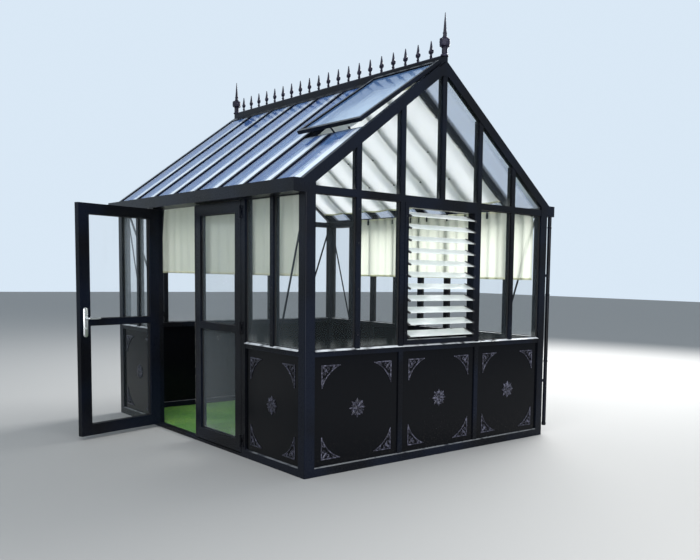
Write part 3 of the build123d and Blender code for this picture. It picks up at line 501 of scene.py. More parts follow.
def panelSheet(name, facts):
    f = Finish(name)
    place = f.place()
    z = f.axes(place)[2]
    grit = f.noise(place, 90, 5, 0.65)
    splash = f.between(z, 0.34, 0.05) * f.between(grit, 0.52, 0.76) * 0.25
    wave = f.noise(place, 3.2, 2)
    return f.shaded(
        {
            "Base Color": f.mix(splash, facts["sheet"], facts["splash"]),
            "Roughness": facts["roughness"] + 0.5 * splash,
            "Specular IOR Level": 0.09,
            "Normal": f.bump(wave, 0.25, 0.006),
        }
    )


# Castings: black paint, grey on the raised parts: partly rubbed to grey, partly a painted highlight
# where light catches them
castFacts = {"paint": (0.006, 0.006, 0.010), "wornAndHighlight": (0.115, 0.115, 0.16), "roughness": 0.30}
crestFacts = {"paint": (0.007, 0.006, 0.016), "wornAndHighlight": (0.030, 0.028, 0.060), "roughness": 0.40}


def castMetal(name, facts, wornAndHighlight=0.5):
    f = Finish(name)
    place = f.place()
    sand = f.noise(place, 420, 3, 0.6)
    patch = f.noise(place, 60, 4, 0.6)
    raised = f.node("NewGeometry", out="Pointiness")
    edge = f.between(raised, 0.50, 0.56)
    # grey on raised edges in patches: rubbed paint and a painted highlight standing in for glints
    bareAndHighlight = (0.15 + 0.85 * f.between(patch, 0.48, 0.60)) * edge * wornAndHighlight
    return f.shaded(
        {
            "Base Color": f.mix(bareAndHighlight, facts["paint"], facts["wornAndHighlight"]),
            "Roughness": facts["roughness"] + 0.15 * (sand - 0.5),
            "Specular IOR Level": 0.22,
            "Normal": f.bump(sand, 0.30, 0.0006),
        }
    )


# Small fittings: two tints mixed by a grain, which roughens and dents some of them too
grainFacts = {
    "black_rubber": {
        "tints": ((0.006, 0.006, 0.007), (0.014, 0.014, 0.015)),
        "grain": (500, 2),
        "roughness": 0.62,
        "dent": 0.2,
        "plain": {"Specular IOR Level": 0.25},
    },
    "brush_pile": {
        "tints": ((0.17, 0.15, 0.12), (0.36, 0.33, 0.28)),
        "stretch": (1, 1, 6),
        "grain": (260, 2),
        "roughness": 0.85,
        "plain": {"Sheen Weight": 0.3},
    },
    "black_screws": {
        "tints": ((0.020, 0.020, 0.022), (0.045, 0.045, 0.048)),
        "grain": (900, 2),
        "roughness": 0.30,
        "rougher": 0.15,
        "plain": {"Metallic": 0.6},
    },
    "black_clip_plastic": {
        "tints": ((0.020, 0.020, 0.021), (0.032, 0.032, 0.033)),
        "grain": (700, 2),
        "roughness": 0.55,
        "dent": 0.2,
    },
    "satin_steel": {
        "tints": ((0.50, 0.51, 0.52), (0.68, 0.69, 0.70)),
        "stretch": (60, 60, 4),
        "grain": (30, 3),
        "roughness": 0.28,
        "rougher": 0.15,
        "dent": 0.1,
        "plain": {"Metallic": 0.85},
    },
}


def grained(name):
    facts = grainFacts[name]
    f = Finish(name)
    place = f.place()
    if "stretch" in facts:
        place = f.scaled(place, facts["stretch"])
    grain = f.noise(place, *facts["grain"])
    sockets = {"Base Color": f.mix(grain, *facts["tints"]), "Roughness": facts["roughness"]}
    if "rougher" in facts:
        sockets["Roughness"] = facts["roughness"] + facts["rougher"] * grain
    if "dent" in facts:
        sockets["Normal"] = f.bump(grain, facts["dent"], 0.0003)
    return f.shaded({**sockets, **facts.get("plain", {})})


# Artificial turf: the woven backing under the blades
backingFacts = {
    "dark": (0.022, 0.075, 0.014),
    "light": (0.09, 0.24, 0.045),
    "patch": (0.14, 0.30, 0.07),
}


def turfBacking(name, facts):
    f = Finish(name)
    place = f.place()
    fleck = f.noise(place, 240, 3, 0.7)
    patch = f.noise(place, 3.1, 3)
    colour = f.mix(f.between(fleck, 0.35, 0.65), facts["dark"], facts["light"])
    colour = f.mix(f.between(patch, 0.4, 0.7) * 0.4, colour, facts["patch"])
    return f.shaded(
        {
            "Base Color": colour,
            "Roughness": 0.8,
            "Normal": f.bump(fleck, 0.8, 0.004),
        }
    )


finishes = {
    "coat": powderCoat("black_powder_coat", coatFacts),
    "pane": clearGlass("clear_pane", paneFacts),
    "doorPane": clearGlass("door_pane", paneFacts, 0.12),
    "gablePane": clearGlass("gable_pane", paneFacts, 1.85),
    "roof": skyGlass("roof_pane", roofFacts),
    "vent": ventGlass("vent_pane", ventFacts),
    "blade": bladeGlass("obscured_blade", bladeFacts),
    "panel": panelSheet("gloss_panel", panelFacts),
    "cast": castMetal("worn_casting", castFacts, 0.8),
    "crest": castMetal("painted_casting", crestFacts, 0.6),
    "rubber": grained("black_rubber"),
    "pile": grained("brush_pile"),
    "steelDark": grained("black_screws"),
    "plastic": grained("black_clip_plastic"),
    "steel": grained("satin_steel"),
    "turf": turfBacking("turf_backing", backingFacts),
}
nodeFinish = {
    "front_glass": "pane",
    "back_glass": "pane",
    "left_glass": "pane",
    "right_glass": "pane",
    "gable_glass": "gablePane",
    "near_leaf_glass": "doorPane",
    "far_leaf_glass": "doorPane",
    "roof_glass_left": "roof",
    "roof_glass_right": "roof",
    "vent_glass": "vent",
    "louvre_blades": "blade",
    "louvre_clips": "plastic",
    "lower_panels": "panel",
    "panel_ornaments": "cast",
    "ridge_cresting": "crest",
    "finials": "crest",
    "far_leaf_lock": "steel",
    "floor_mat": "turf",
}
for name, node in nodes.items():
    chosen = finishes[nodeFinish.get(name, "coat")]
    for slot in node.material_slots:
        slot.material = chosen
    if not node.material_slots:
        node.data.materials.append(chosen)
print("finishes on the frame")


# Points and faces of one shape, put together from swept, turned and flat parts
class Shape:
    def __init__(self):
        self.points = []
        self.faces = []

    def add(self, points, faces):
        start = len(self.points)
        self.points += [Vector(p) for p in points]
        self.faces += [tuple(start + i for i in face) for face in faces]

    # a skin over a row of rings with the same number of points, closed at both ends
    def skin(self, points, sides):
        faces = []
        for a in range(0, len(points) - sides, sides):
            for k in range(sides):
                n = (k + 1) % sides
                faces.append((a + k, a + n, a + sides + n, a + sides + k))
        faces.append(tuple(range(sides))[::-1])
        faces.append(tuple(range(len(points) - sides, len(points))))
        self.add(points, faces)

    # a skin over sections that come round to the first one again
    def ringed(self, points, section):
        faces = []
        for a in range(0, len(points), section):
            b = (a + section) % len(points)
            for k in range(section):
                n = (k + 1) % section
                faces.append((a + k, b + k, b + n, a + n))
        self.add(points, faces)

    def block(self, low, high):
        x, y, z = zip(low, high)
        points = [(x[i], y[j], z[k]) for i in (0, 1) for j in (0, 1) for k in (0, 1)]
        faces = [(0, 1, 3, 2), (4, 6, 7, 5), (0, 4, 5, 1), (2, 3, 7, 6), (0, 2, 6, 4), (1, 5, 7, 3)]
        self.add(points, faces)

    # a round bar along a path, its thickness given once or for every point of it
    def tube(self, path, thick, sides=8, flat=1.0):
        path = [Vector(p) for p in path]
        thick = [thick] * len(path) if isinstance(thick, float) else thick
        points = []
        for i, spot in enumerate(path):
            ahead = (path[min(i + 1, len(path) - 1)] - path[max(i - 1, 0)]).normalized()
            across = ahead.cross(Vector((0, 0, 1)))
            if across.length <= 0.01:
                across = ahead.cross(Vector((1, 0.3, 0)))
            across.normalize()
            over = across.cross(ahead)
            for k in range(sides):
                a = 2 * math.pi * k / sides
                points.append(spot + thick[i] * (math.cos(a) * across + flat * math.sin(a) * over))
        self.skin(points, sides)

    # radius and height pairs turned round the upright line through a foot point
    def turned(self, foot, profile, sides=16):
        points = []
        for radius, height in profile:
            for k in range(sides):
                a = 2 * math.pi * k / sides
                spot = Vector((radius * math.cos(a), radius * math.sin(a), height))
                points.append(Vector(foot) + spot)
        self.skin(points, sides)

    def ball(self, centre, radius, sides=8, squash=1.0):
        rings = max(3, sides // 2)
        angles = [math.pi * i / rings for i in range(1, rings)]
        profile = [(radius * math.sin(a), -radius * math.cos(a) * squash) for a in angles]
        self.turned(centre, profile, sides)

    def hoop(self, centre, radius, thick, sides=24, section=6):
        points = []
        for i in range(sides):
            a = 2 * math.pi * i / sides
            for k in range(section):
                b = 2 * math.pi * k / section
                r = radius + thick * math.cos(b)
                spot = Vector((r * math.cos(a), r * math.sin(a), thick * math.sin(b)))
                points.append(Vector(centre) + spot)
        self.ringed(points, section)

    def moved(self, change):
        made = Shape()
        made.add([change(p) for p in self.points], self.faces)
        return made

    def joined(self, other):
        self.add(other.points, other.faces)

    def mesh(self, name):
        data = bpy.data.meshes.new(name)
        data.from_pydata([tuple(p) for p in self.points], [], self.faces)
        tidy = bmesh.new()
        tidy.from_mesh(data)
        bmesh.ops.recalc_face_normals(tidy, faces=tidy.faces)
        tidy.to_mesh(data)
        tidy.free()
        return data


# Pieces are plain meshes at the origin
def showMesh(name, mesh, body, finish, smooth=False):
    piece = bpy.data.objects.new(name, mesh)
    bpy.context.scene.collection.objects.link(piece)
    mesh.materials.clear()
    mesh.materials.append(finish)
    mesh.polygons.foreach_set("use_smooth", [smooth] * len(mesh.polygons))
    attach(piece, body)
    return piece


def showShape(name, shape, body, finish, smooth=False):
    return showMesh(name, shape.mesh(name), body, finishes[finish], smooth)


# Repeats one sample on every point of a point set, each turned by its own angles
def buildRepeater():
    inlets = {
        "points": ("Geometry", None),
        "sample": ("Object", None),
        "size": ("Float", 1.0),
        "finish": ("Material", None),
    }
    tree = GrowTree("repeat_on_points", inlets)
    given = tree.given
    angles = tree.node("InputNamedAttribute", {"data_type": "FLOAT_VECTOR"}, {"Name": "turn"})
    sample = tree.node("ObjectInfo", sockets={"Object": given["sample"]}, out="Geometry")
    tree.strew(given["points"], sample, angles, given["size"])
    return tree


repeater = buildRepeater()


def repeatShape(name, shape, places, body, finish, smooth=True, size=1.0):
    # places hold a spot and the three angles of its turn
    base = bpy.data.meshes.new(name + "_points")
    base.from_pydata([tuple(spot) for spot, turn in places], [], [])
    turns = base.attributes.new("turn", "FLOAT_VECTOR", "POINT")
    for i, (spot, turn) in enumerate(places):
        turns.data[i].vector = turn
    holder = bpy.data.objects.new(name + "_points", base)
    sample = bpy.data.objects.new(name + "_sample", shape.mesh(name + "_sample"))
    for thing in (holder, sample):
        bpy.context.scene.collection.objects.link(thing)
    values = {"sample": sample, "size": size, "finish": finishes[finish]}
    mesh = repeater.grow(holder, values)
    mesh.name = name
    for thing in (holder, sample):
        bpy.data.objects.remove(thing)
    return showMesh(name, mesh, body, finishes[finish], smooth)


# Turf: short blades strewn over the mat, each leaning its own way
turfFacts = {
    "sizes": {"density": 8600.0, "height": 0.010, "width": 0.0013, "lean": 0.55},
    "seed": 4,
    "sizeSeed": 9,
    "margin": 0.006,
    "dark": (0.055, 0.22, 0.020),
    "light": (0.20, 0.50, 0.060),
    "patch": (0.42, 0.62, 0.10),
}


def buildTurf(facts):
    sizes = {name: ("Float", value) for name, value in facts["sizes"].items()}
    last = {"seed": ("Int", facts["seed"]), "finish": ("Material", None)}
    tree = GrowTree("turf_growth", {"ground": ("Geometry", None), **sizes, **last})
    given = tree.given
    sockets = {"Mesh": given["ground"], "Density": given["density"], "Seed": given["seed"]}
    spots = tree.node("DistributePointsOnFaces", sockets=sockets)
    ends = {"Radius Top": 0.0, "Radius Bottom": given["width"], "Depth": given["height"]}
    blade = tree.node("MeshCone", {"fill_type": "NONE"}, {"Vertices": 3, **ends})
    lean = given["lean"]
    low = tree.node("CombineXYZ", sockets={0: -1 * lean, 1: -1 * lean, 2: 0.0})
    high = tree.node("CombineXYZ", sockets={0: lean, 1: lean, 2: 2 * math.pi})
    sockets = {0: low, 1: high, "Seed": given["seed"]}
    angles = tree.node("RandomValue", {"data_type": "FLOAT_VECTOR"}, sockets)
    sockets = {2: 0.6, 3: 1.0, "Seed": facts["sizeSeed"]}
    size = tree.node("RandomValue", {"data_type": "FLOAT"}, sockets, out=1)
    tree.strew(spots, blade, angles, size)
    return tree


def turfBlade(name, facts):
    f = Finish(name)
    place = f.place()
    patch = f.noise(place, 2.4, 4)
    fine = f.noise(place, 90, 2)
    colour = f.mix(f.between(fine, 0.3, 0.7), facts["dark"], facts["light"])
    colour = f.mix(f.between(patch, 0.45, 0.7) * 0.6, colour, facts["patch"])
    return f.shaded({"Base Color": colour, "Roughness": 0.6, "Specular IOR Level": 0.3})


def growTurf(facts):
    low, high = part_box("floor_mat")
    edge = facts["margin"]
    x, y, z = (low.x + edge, high.x - edge), (low.y + edge, high.y - edge), high.z
    ground = Shape()
    corners = [(x[0], y[0], z), (x[1], y[0], z), (x[1], y[1], z), (x[0], y[1], z)]
    ground.add(corners, [(0, 1, 2, 3)])
    holder = bpy.data.objects.new("turf_ground", ground.mesh("turf_ground"))
    bpy.context.scene.collection.objects.link(holder)
    blades = turfBlade("turf_blades", facts)
    values = {**facts["sizes"], "seed": facts["seed"], "finish": blades}
    mesh = buildTurf(facts).grow(holder, values)
    bpy.data.objects.remove(holder)
    mesh.name = "turf_blades"
    showMesh("turf_blades", mesh, "root", blades)


growTurf(turfFacts)
print("turf grown")


# Where the separate castings of a CAD piece lie: the middle and the box of each
def islands(node):
    mesh = nodes[node].data
    spots = np.empty(len(mesh.vertices) * 3)
    mesh.vertices.foreach_get("co", spots)
    spots = spots.reshape(-1, 3) @ np.array(nodes[node].matrix_world.to_3x3()).T
    spots += np.array(nodes[node].matrix_world.translation)
    keys, same = np.unique(np.round(spots, 5), axis=0, return_inverse=True)
    same = same.reshape(-1)
    root = list(range(len(keys)))

    def find(i):
        while root[i] != i:
            root[i] = root[root[i]]
            i = root[i]
        return i

    for edge in mesh.edges:
        a, b = find(same[edge.vertices[0]]), find(same[edge.vertices[1]])
        root[a] = b
    groups = {}
    for i in range(len(keys)):
        groups.setdefault(find(i), []).append(keys[i])
    boxes = []
    for group in groups.values():
        group = np.array(group)
        boxes.append((Vector(group.min(axis=0)), Vector(group.max(axis=0))))
    return boxes


# Cast ornaments: rosettes and openwork corners with beads, scrolls and a leaf
castingFacts = {
    "leg": 0.150,
    "bead": 0.0042,
    "strap": 0.0048,
    "rise": 0.0034,
    "reach": (0.0, 0.3, 0.55, 0.78, 0.92, 1.0),
    "taper": (1, 1, 0.95, 0.85, 0.6, 0.25),
    "scrolls": (((0.094, 0.0165), 0.0125, 2.6), ((0.052, 0.0215), 0.0150, 2.9)),
    "leaf": (0.003, 0.006, 0.0085, 0.0080, 0.006, 0.0035, 0.001),
    "rosette": 0.066,
    "petals": 8,
    "petal": (0.003, 0.0065, 0.0095, 0.0112, 0.0105, 0.0080, 0.0045, 0.001),
    "boss": ((0.0195, 0.0), (0.0195, 0.0030), (0.0135, 0.0058), (0.0070, 0.0074), (0.002, 0.0078)),
    "studs": 16,
    "rosetteWidth": 0.136,
    "panelMiddle": 0.415,
    "sink": 0.0035,
}


def scroll(centre, start, turns, reach, steps):
    # a line that tightens towards its eye
    path = []
    for i in range(steps + 1):
        t = i / steps
        a = start - turns * 2 * math.pi * t
        r = reach * (1 - 0.82 * t)
        path.append((centre[0] + r * math.cos(a), centre[1] + r * math.sin(a)))
    return path


def cornerCasting(facts):
    made = Shape()
    leg, strap, rise = facts["leg"], facts["strap"], facts["rise"]
    legThick = [strap * share for share in facts["taper"]]
    made.tube([(t * leg, strap, rise * 0.4) for t in facts["reach"]], legThick, 8, 0.7)
    made.tube([(strap, t * leg, rise * 0.4) for t in facts["reach"]], legThick, 8, 0.7)
    bow = []
    for i in range(19):
        t = i / 18
        near, between, far = (1 - t) ** 2, 2 * (1 - t) * t * 0.30 * leg, t**2
        a = near * leg * 0.95 + between + far * strap
        b = near * strap + between + far * leg * 0.95
        bow.append((a, b, rise * 0.4))
    made.tube(bow, strap * 0.8, 6, 0.8)
    for a, b, height in bow[1:-1:2]:
        made.ball((a, b, rise * 1.3), facts["bead"], 8, 0.8)
    for flip in (1, -1):
        for centre, size, start in facts["scrolls"]:
            path = [(*spot[::flip], rise * 0.5) for spot in scroll(centre, start, 1.15, size, 16)]
            made.tube(path, [0.0028 * (1 - 0.4 * i / 16) for i in range(17)], 6, 0.9)
            made.ball((*centre[::flip], rise), 0.0036, 8, 0.8)
    leaf = [0.012 + 0.055 * math.sqrt(0.5) * i / 6 for i in range(7)]
    made.tube([(a, a, rise * 0.7) for a in leaf], facts["leaf"], 8, 0.45)
    for a, b in ((leg * 0.97, strap), (strap, leg * 0.97)):
        made.ball((a, b, rise * 0.8), 0.0052, 8, 0.7)
    return made


def rosetteCasting(facts):
    made = Shape()
    big, rise, petals = facts["rosette"], facts["rise"], facts["petals"]

    def ray(angle, radius, height):
        return (radius * math.cos(angle), radius * math.sin(angle), height)

    made.hoop((0, 0, rise * 0.3), big * 0.52, 0.0035, 32, 6)
    made.turned((0, 0, -0.001), facts["boss"], 16)
    for i in range(petals):
        a = 2 * math.pi * i / petals
        steps = np.linspace(0.26, 1.0, len(facts["petal"]))
        made.tube([ray(a, big * t, rise * 0.5) for t in steps], facts["petal"], 8, 0.42)
        a += math.pi / petals
        made.ball(ray(a, big * 0.74, rise), 0.0050, 8, 0.8)
        made.tube([ray(a, big * t, rise * 0.4) for t in (0.48, 0.60, 0.72)], 0.0026, 6, 0.8)
    for i in range(facts["studs"]):
        made.ball(ray(2 * math.pi * i / facts["studs"], 0.0235, rise), 0.0026, 6, 0.9)
    return made


def hangCastings(facts):
    corners, roses = [], []
    for low, high in islands("panel_ornaments"):
        middle, size = (low + high) / 2, high - low
        side = 0 if size.x < size.y else 1  # the axis that the wall faces along
        out = 1 if middle[side] > 0 else -1
        # the wall's own across, seen from outside with up as up
        face, across = Vector(), Vector()
        face[side] = out
        across[1 - side] = -out if side else out
        spot = middle.copy()
        spot[side] = (low if out < 0 else high)[side] - out * facts["sink"]
        turn = Matrix((across, Vector((0, 0, 1)), face)).transposed()
        wide = size[1 - side]
        if abs(wide - facts["rosetteWidth"]) < 0.006:
            roses.append((spot, turn.to_euler()))
        else:
            corners.append((spot, across, turn, wide / 2))
    spots = []
    for spot, across, turn, half in corners:
        # the nearest rosette tells which side of the panel the corner is on
        near = min(roses, key=lambda rose: (rose[0] - spot).length)[0]
        onRight = (spot - near).dot(across) > 0
        if spot.z > facts["panelMiddle"]:
            angle = 180 if onRight else 270
        else:
            angle = 90 if onRight else 0
        turn = turn @ Matrix.Rotation(math.radians(angle), 3, "Z")
        spots.append((spot + turn @ Vector((-half, -half, 0)), turn.to_euler()))
    shape = cornerCasting(facts)
    corner = repeatShape("corner_castings", shape, spots, "root", "cast")
    shape = rosetteCasting(facts)
    rose = repeatShape("rosette_castings", shape, roses, "root", "cast")
    for piece in (corner, rose):
        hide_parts("panel_ornaments")


hangCastings(castingFacts)
print("castings hung")


# The far leaf's own place: fittings are laid out on the closed leaf and turned with it
farPivot = Vector((-1.158, 0.712, 0))
farTurn = Matrix.Rotation(math.radians(-75), 3, "Z")


def onFarLeaf(spot):
    return farPivot + farTurn @ (Vector(spot) - farPivot)


# Pan-head screws with a raised cross, on the hinges, the glazing bars and the louvre frame
screwFacts = {
    "radius": 0.0042,
    "rise": 0.0020,
    "hingeHeights": (0.113, 0.9105, 1.708),
    "hingeFace": 1.154,
    "postLine": 0.731,
    "postLifts": (-0.031, 0.031),
    "leafLine": 0.693,
    "leafLifts": (-0.008, 0.008),
    "capHeights": (0.90, 1.20, 1.50, 1.72),
    "endCap": 1.516,
    "sideCap": 1.146,
    "louvreHeights": (0.90, 1.30, 1.70),
    "louvreLine": 0.334,
}


def screwHead(facts):
    radius, height = facts["radius"], facts["rise"]
    made = Shape()
    rim = [(radius, 0), (radius, height * 0.45), (radius * 0.8, height * 0.85), (radius * 0.45, height)]
    made.turned((0, 0, 0), rim, 12)
    arm, width = radius * 0.55, radius * 0.11
    for a, b in ((arm, width), (width, arm)):
        made.block((-a, -b, height), (a, b, height + 0.0002))
    return made


def screwPlaces(facts):
    rng = random.Random(5)
    walls, near, far = [], [], []

    def put(places, spot, direction):
        # a sample's own up points along the direction, and each head has its own spin
        turn = Vector(direction).to_track_quat("Z", "Y").to_matrix()
        turn = turn @ Matrix.Rotation(rng.uniform(0, math.pi), 3, "Z")
        places.append((tuple(spot), turn.to_euler()))

    left = Vector((-1, 0, 0))
    face, post, leaf = facts["hingeFace"], facts["postLine"], facts["leafLine"]
    for height in facts["hingeHeights"]:
        for side in (-1, 1):
            for lift in facts["postLifts"]:
                put(walls, (-face, side * post, height + lift), left)
        for lift in facts["leafLifts"]:
            put(near, (-face, -leaf, height + lift), left)
            put(far, onFarLeaf((-face, leaf, height + lift)), farTurn @ left)
    for wall in (-1, 1):
        for x in barLines[1:3] + barLines[4:6]:
            if wall > 0 or abs(x) > 0.5:  # none at the louvre window
                for z in facts["capHeights"]:
                    put(walls, (x, wall * facts["endCap"], z), (0, wall, 0))
    for side in (-1, 1):
        for y in barLines:
            if side > 0 or abs(y) > 1:  # none at the doorway
                for z in facts["capHeights"]:
                    put(walls, (side * facts["sideCap"], y, z), (side, 0, 0))
    for z in facts["louvreHeights"]:
        for side in (-1, 1):
            put(walls, (side * facts["louvreLine"], -house["halfDepth"], z), (0, -1, 0))
    return walls, near, far


def setScrews(facts):
    screw = screwHead(facts)
    walls, near, far = screwPlaces(facts)
    repeatShape("frame_screws", screw, walls, "root", "steelDark")
    repeatShape("near_leaf_screws", screw, near, "near_leaf", "steelDark")
    repeatShape("far_leaf_screws", screw, far, "far_leaf", "steelDark")


setScrews(screwFacts)
print("screws set")


# Rubber strips round both faces of every pane
gasketFacts = {
    "wide": 0.005,
    "deep": 0.0045,
    "lip": 0.0008,
    "wallPane": ((-0.022, 1), (-0.026, -1)),  # a pane's faces, from the frame's outer face
    "leafPane": ((-0.0205, 1), (-0.0245, -1)),
    "corners": {"end": 1.075, "side": 1.445},
    # each wall's side, and half the width that the louvre window or the doorway takes
    "walls": (("end", -1, 0.36), ("end", 1, 0), ("side", -1, 0.765), ("side", 1, 0)),
    "leafWidth": (0.090, 0.624),
    "leafPanes": ((0.113, 0.870), (0.920, 1.708)),
}


def strips(shape, spot, across, upward, pane, facts):
    # spot maps across, up and out to the frame
    (a, b), (low, high), wide = across, upward, facts["wide"]
    for face, way in pane:
        far, lip = face + way * facts["deep"], face + way * facts["lip"]
        points = []
        for u, z in ((a, low), (b, low), (b, high), (a, high)):
            m = u + (wide if u == a else -wide)
            n = z + (wide if z == low else -wide)
            points += [spot(u, z, far), spot((u + m) / 2, (z + n) / 2, far)]
            points += [spot(m, n, lip), spot(m, n, face), spot(u, z, face)]
        shape.ringed(points, 5)


def wallGaskets(facts):
    made = Shape()
    half = house["mullion"] / 2
    upward = (house["sillTop"], house["beamBottom"])
    for kind, wall, opening in facts["walls"]:

        def spot(u, z, out):
            if kind == "end":
                return (u, wall * (house["halfDepth"] + out), z)
            return (wall * (house["halfWidth"] + out), u, z)

        bars = barLines[1:-1] if kind == "end" else barLines
        starts = [-facts["corners"][kind]] + [bar + half for bar in bars]
        ends = [bar - half for bar in bars] + [facts["corners"][kind]]
        for a, b in zip(starts, ends):
            if max(abs(a), abs(b)) > opening:
                across = (max(a, opening), b) if a > 0 else (a, min(b, -opening))
                strips(made, spot, across, upward, facts["wallPane"], facts)
    return made


def leafGaskets(side, facts):
    made = Shape()

    def spot(u, z, out):
        return (-house["halfWidth"] - out, side * u, z)

    for upward in facts["leafPanes"]:
        strips(made, spot, facts["leafWidth"], upward, facts["leafPane"], facts)
    return made


def layGaskets(facts):
    shapes = {
        "pane_gaskets": (wallGaskets(facts), "root"),
        "near_leaf_gaskets": (leafGaskets(-1, facts), "near_leaf"),
        "far_leaf_gaskets": (leafGaskets(1, facts).moved(onFarLeaf), "far_leaf"),
    }
    for name, (shape, body) in shapes.items():
        showShape(name, shape, body, "rubber")


layGaskets(gasketFacts)
print("gaskets laid")


# The far leaf's lock: a long plate, a round lever and a key cylinder on each face
lockFacts = {
    "middle": 0.0475,
    "height": 0.895,
    "faces": ((-1.150, -1), (-1.105, 1)),
    "plate": (0.038, 0.225, 0.004),
    "chamfer": 0.0016,
    "hubLift": 0.030,
    "hub": ((0.0100, 0.0), (0.0100, 0.008), (0.0080, 0.011), (0.0080, 0.032)),
    "lever": 0.100,
    "standoff": 0.040,
    "leverThick": (0.0075, 0.0078, 0.0078, 0.0075, 0.0068, 0.0066, 0.0070, 0.0072, 0.0060),
    "keyDrop": 0.045,
    "key": ((0.0085, 0), (0.0085, 0.0035), (0.0065, 0.005), (0.0065, 0.0042), (0.001, 0.0042)),
}


def lockFitting(facts):
    made = Shape()
    wide, tall, deep = facts["plate"]
    u, z, r = facts["middle"], facts["height"], wide / 2
    hub, long = z + facts["hubLift"], facts["lever"]
    outline = []
    for end, start in ((1, 0), (-1, math.pi)):
        for i in range(9):
            a = start + math.pi * i / 8
            outline.append((r * math.cos(a), end * (tall / 2 - r) + r * math.sin(a)))
    for face, way in facts["faces"]:
        points = []
        for shrink, out in ((0, 0), (0, deep * 0.6), (facts["chamfer"], deep)):
            for a, b in outline:
                m, n = a * (1 - shrink / r), b * (1 - 2 * shrink / tall)
                points.append((face + way * out, u + m, z + n))
        made.skin(points, len(outline))
        knobs = ((facts["hub"], hub, 16), (facts["key"], z - facts["keyDrop"], 20))
        for profile, height, sides in knobs:

            def onPlate(q):
                return Vector((face + way * (deep + q.z), u + q.x, height + q.y))

            part = Shape()
            part.turned((0, 0, 0), profile, sides)
            made.joined(part.moved(onPlate))
        out = face + way * facts["standoff"]
        path = [(out - way * 0.012, u, hub), (out - way * 0.003, u, hub)]
        path += [(out, u + 0.004, hub), (out, u + 0.012, hub)]
        for t in (0.3, 0.6, 0.85):
            path.append((out, u + 0.012 + t * (long - 0.02), hub - 0.003 * math.sin(t * math.pi)))
        path += [(out, u + long - 0.004, hub), (out - way * 0.006, u + long, hub)]
        made.tube(path, facts["leverThick"], 12, 0.9)
    return made


shape = lockFitting(lockFacts).moved(onFarLeaf)
lock = showShape("door_lock", shape, "far_leaf", "steel", True)
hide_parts("far_leaf_lock")
print("lock fitted")


# Brush seal down the near leaf's meeting edge: pale pile in a dark carrier
sealFacts = {
    "carrier": ((-1.1520, -0.0110, 0.034), (-1.1500, -0.0040, 1.784)),
    "foot": 0.036,
    "top": 1.781,
    "pitch": 0.0047,
    "tuft": 0.0042,
    "middle": -1.1512,
    "root": -0.0052,
    "tip": -0.0014,
}


def brushSeal(facts):
    carrier, pile = Shape(), Shape()
    carrier.block(*facts["carrier"])
    rng = random.Random(2)
    z = facts["foot"]
    while z < facts["top"]:
        lean = rng.uniform(-0.0006, 0.0006)
        a, b = facts["root"], facts["tip"] + rng.uniform(-0.0004, 0.0002)
        x = facts["middle"] + rng.uniform(-0.0004, 0.0004)
        high = z + facts["tuft"]
        points = [(x - 0.0008, a, z), (x - 0.0008, a, high)]
        points += [(x + lean, b, high - 0.0004), (x + lean, b, z + 0.0004)]
        points += [(x + 0.0008, a, z), (x + 0.0008, a, high)]
        pile.add(points, [(0, 1, 2, 3), (4, 3, 2, 5), (0, 3, 4), (1, 5, 2), (0, 4, 5, 1)])
        z += facts["pitch"]
    showShape("seal_carrier", carrier, "near_leaf", "rubber")
    showShape("seal_brush", pile, "near_leaf", "pile")


brushSeal(sealFacts)


# Turned rings and heads on the cresting's spikes, rings and beads on the finials
crestingFacts = {
    "pitch": 3.0 / 21,
    "rail": 2.8437,
    "ring": ((0.0085, -0.003), (0.0120, 0.0), (0.0120, 0.003), (0.0085, 0.006)),
    "ringLifts": (0.014, 0.063),
    "head": (
        *((0.0070, 0.036), (0.0150, 0.046), (0.0165, 0.054), (0.0120, 0.064)),
        *((0.0100, 0.078), (0.0060, 0.100), (0.0015, 0.1255)),
    ),
    "finial": (1.50, 2.8357),
    "hoops": (
        *((0.014, 0.0215), (0.060, 0.0225), (0.071, 0.0355)),
        *((0.117, 0.0355), (0.130, 0.0185), (0.160, 0.0150)),
    ),
    "beads": 8,
    "beadRing": (0.0335, 0.094),
}


def crestRings(facts):
    def spikes(*lifts):
        rows = [(i - 10.5) * facts["pitch"] for i in range(1, 21)]
        return [((0, y, facts["rail"] + lift), (0, 0, 0)) for lift in lifts for y in rows]

    ring, head, made = Shape(), Shape(), Shape()
    ring.turned((0, 0, 0), facts["ring"], 12)
    repeatShape("spike_rings", ring, spikes(*facts["ringLifts"]), "root", "crest")
    head.turned((0, 0, 0), facts["head"], 10)
    repeatShape("spike_heads", head, spikes(0), "root", "crest")
    reach, foot = facts["finial"]
    around, lift = facts["beadRing"]
    for y in (-reach, reach):
        for height, radius in facts["hoops"]:
            made.hoop((0, y, foot + height), radius - 0.002, 0.0035, 24, 8)
        for i in range(facts["beads"]):
            a = 2 * math.pi * (i + 0.5) / facts["beads"]
            spot = (around * math.cos(a), y + around * math.sin(a), foot + lift)
            made.ball(spot, 0.0070, 10, 1.5)
    showShape("finial_rings", made, "root", "crest", True)


crestRings(crestingFacts)


# Downpipe collars
collarFacts = {
    "pipe": (1.212, -1.492),
    "heights": (0.074, 0.60, 1.15, 1.70),
    "profile": ((0.0162, 0.0), (0.0185, 0.002), (0.0185, 0.016), (0.0162, 0.018)),
}


def pipeCollars(facts):
    made = Shape()
    for z in facts["heights"]:
        made.turned((*facts["pipe"], z), facts["profile"], 20)
    showShape("downpipe_collars", made, "root", "coat", True)


pipeCollars(collarFacts)
print("seal, rings and collars set")


# Wires for the side cloths and clips that hold the roof cloths to the rafters
gearFacts = {
    "wire": 0.0016,
    "overhang": 0.01,
    "drop": 0.004,
    "ringPitch": 0.13,
    "ridgeGap": 0.043,
    "clipRows": (0.0, 0.25, 0.5, 0.75, 1.0),
    "clip": (
        ((-0.004, -0.007, -0.013), (0.004, 0.007, 0.006)),
        ((-0.0025, -0.009, -0.002), (0.0025, 0.009, 0.004)),
    ),
}


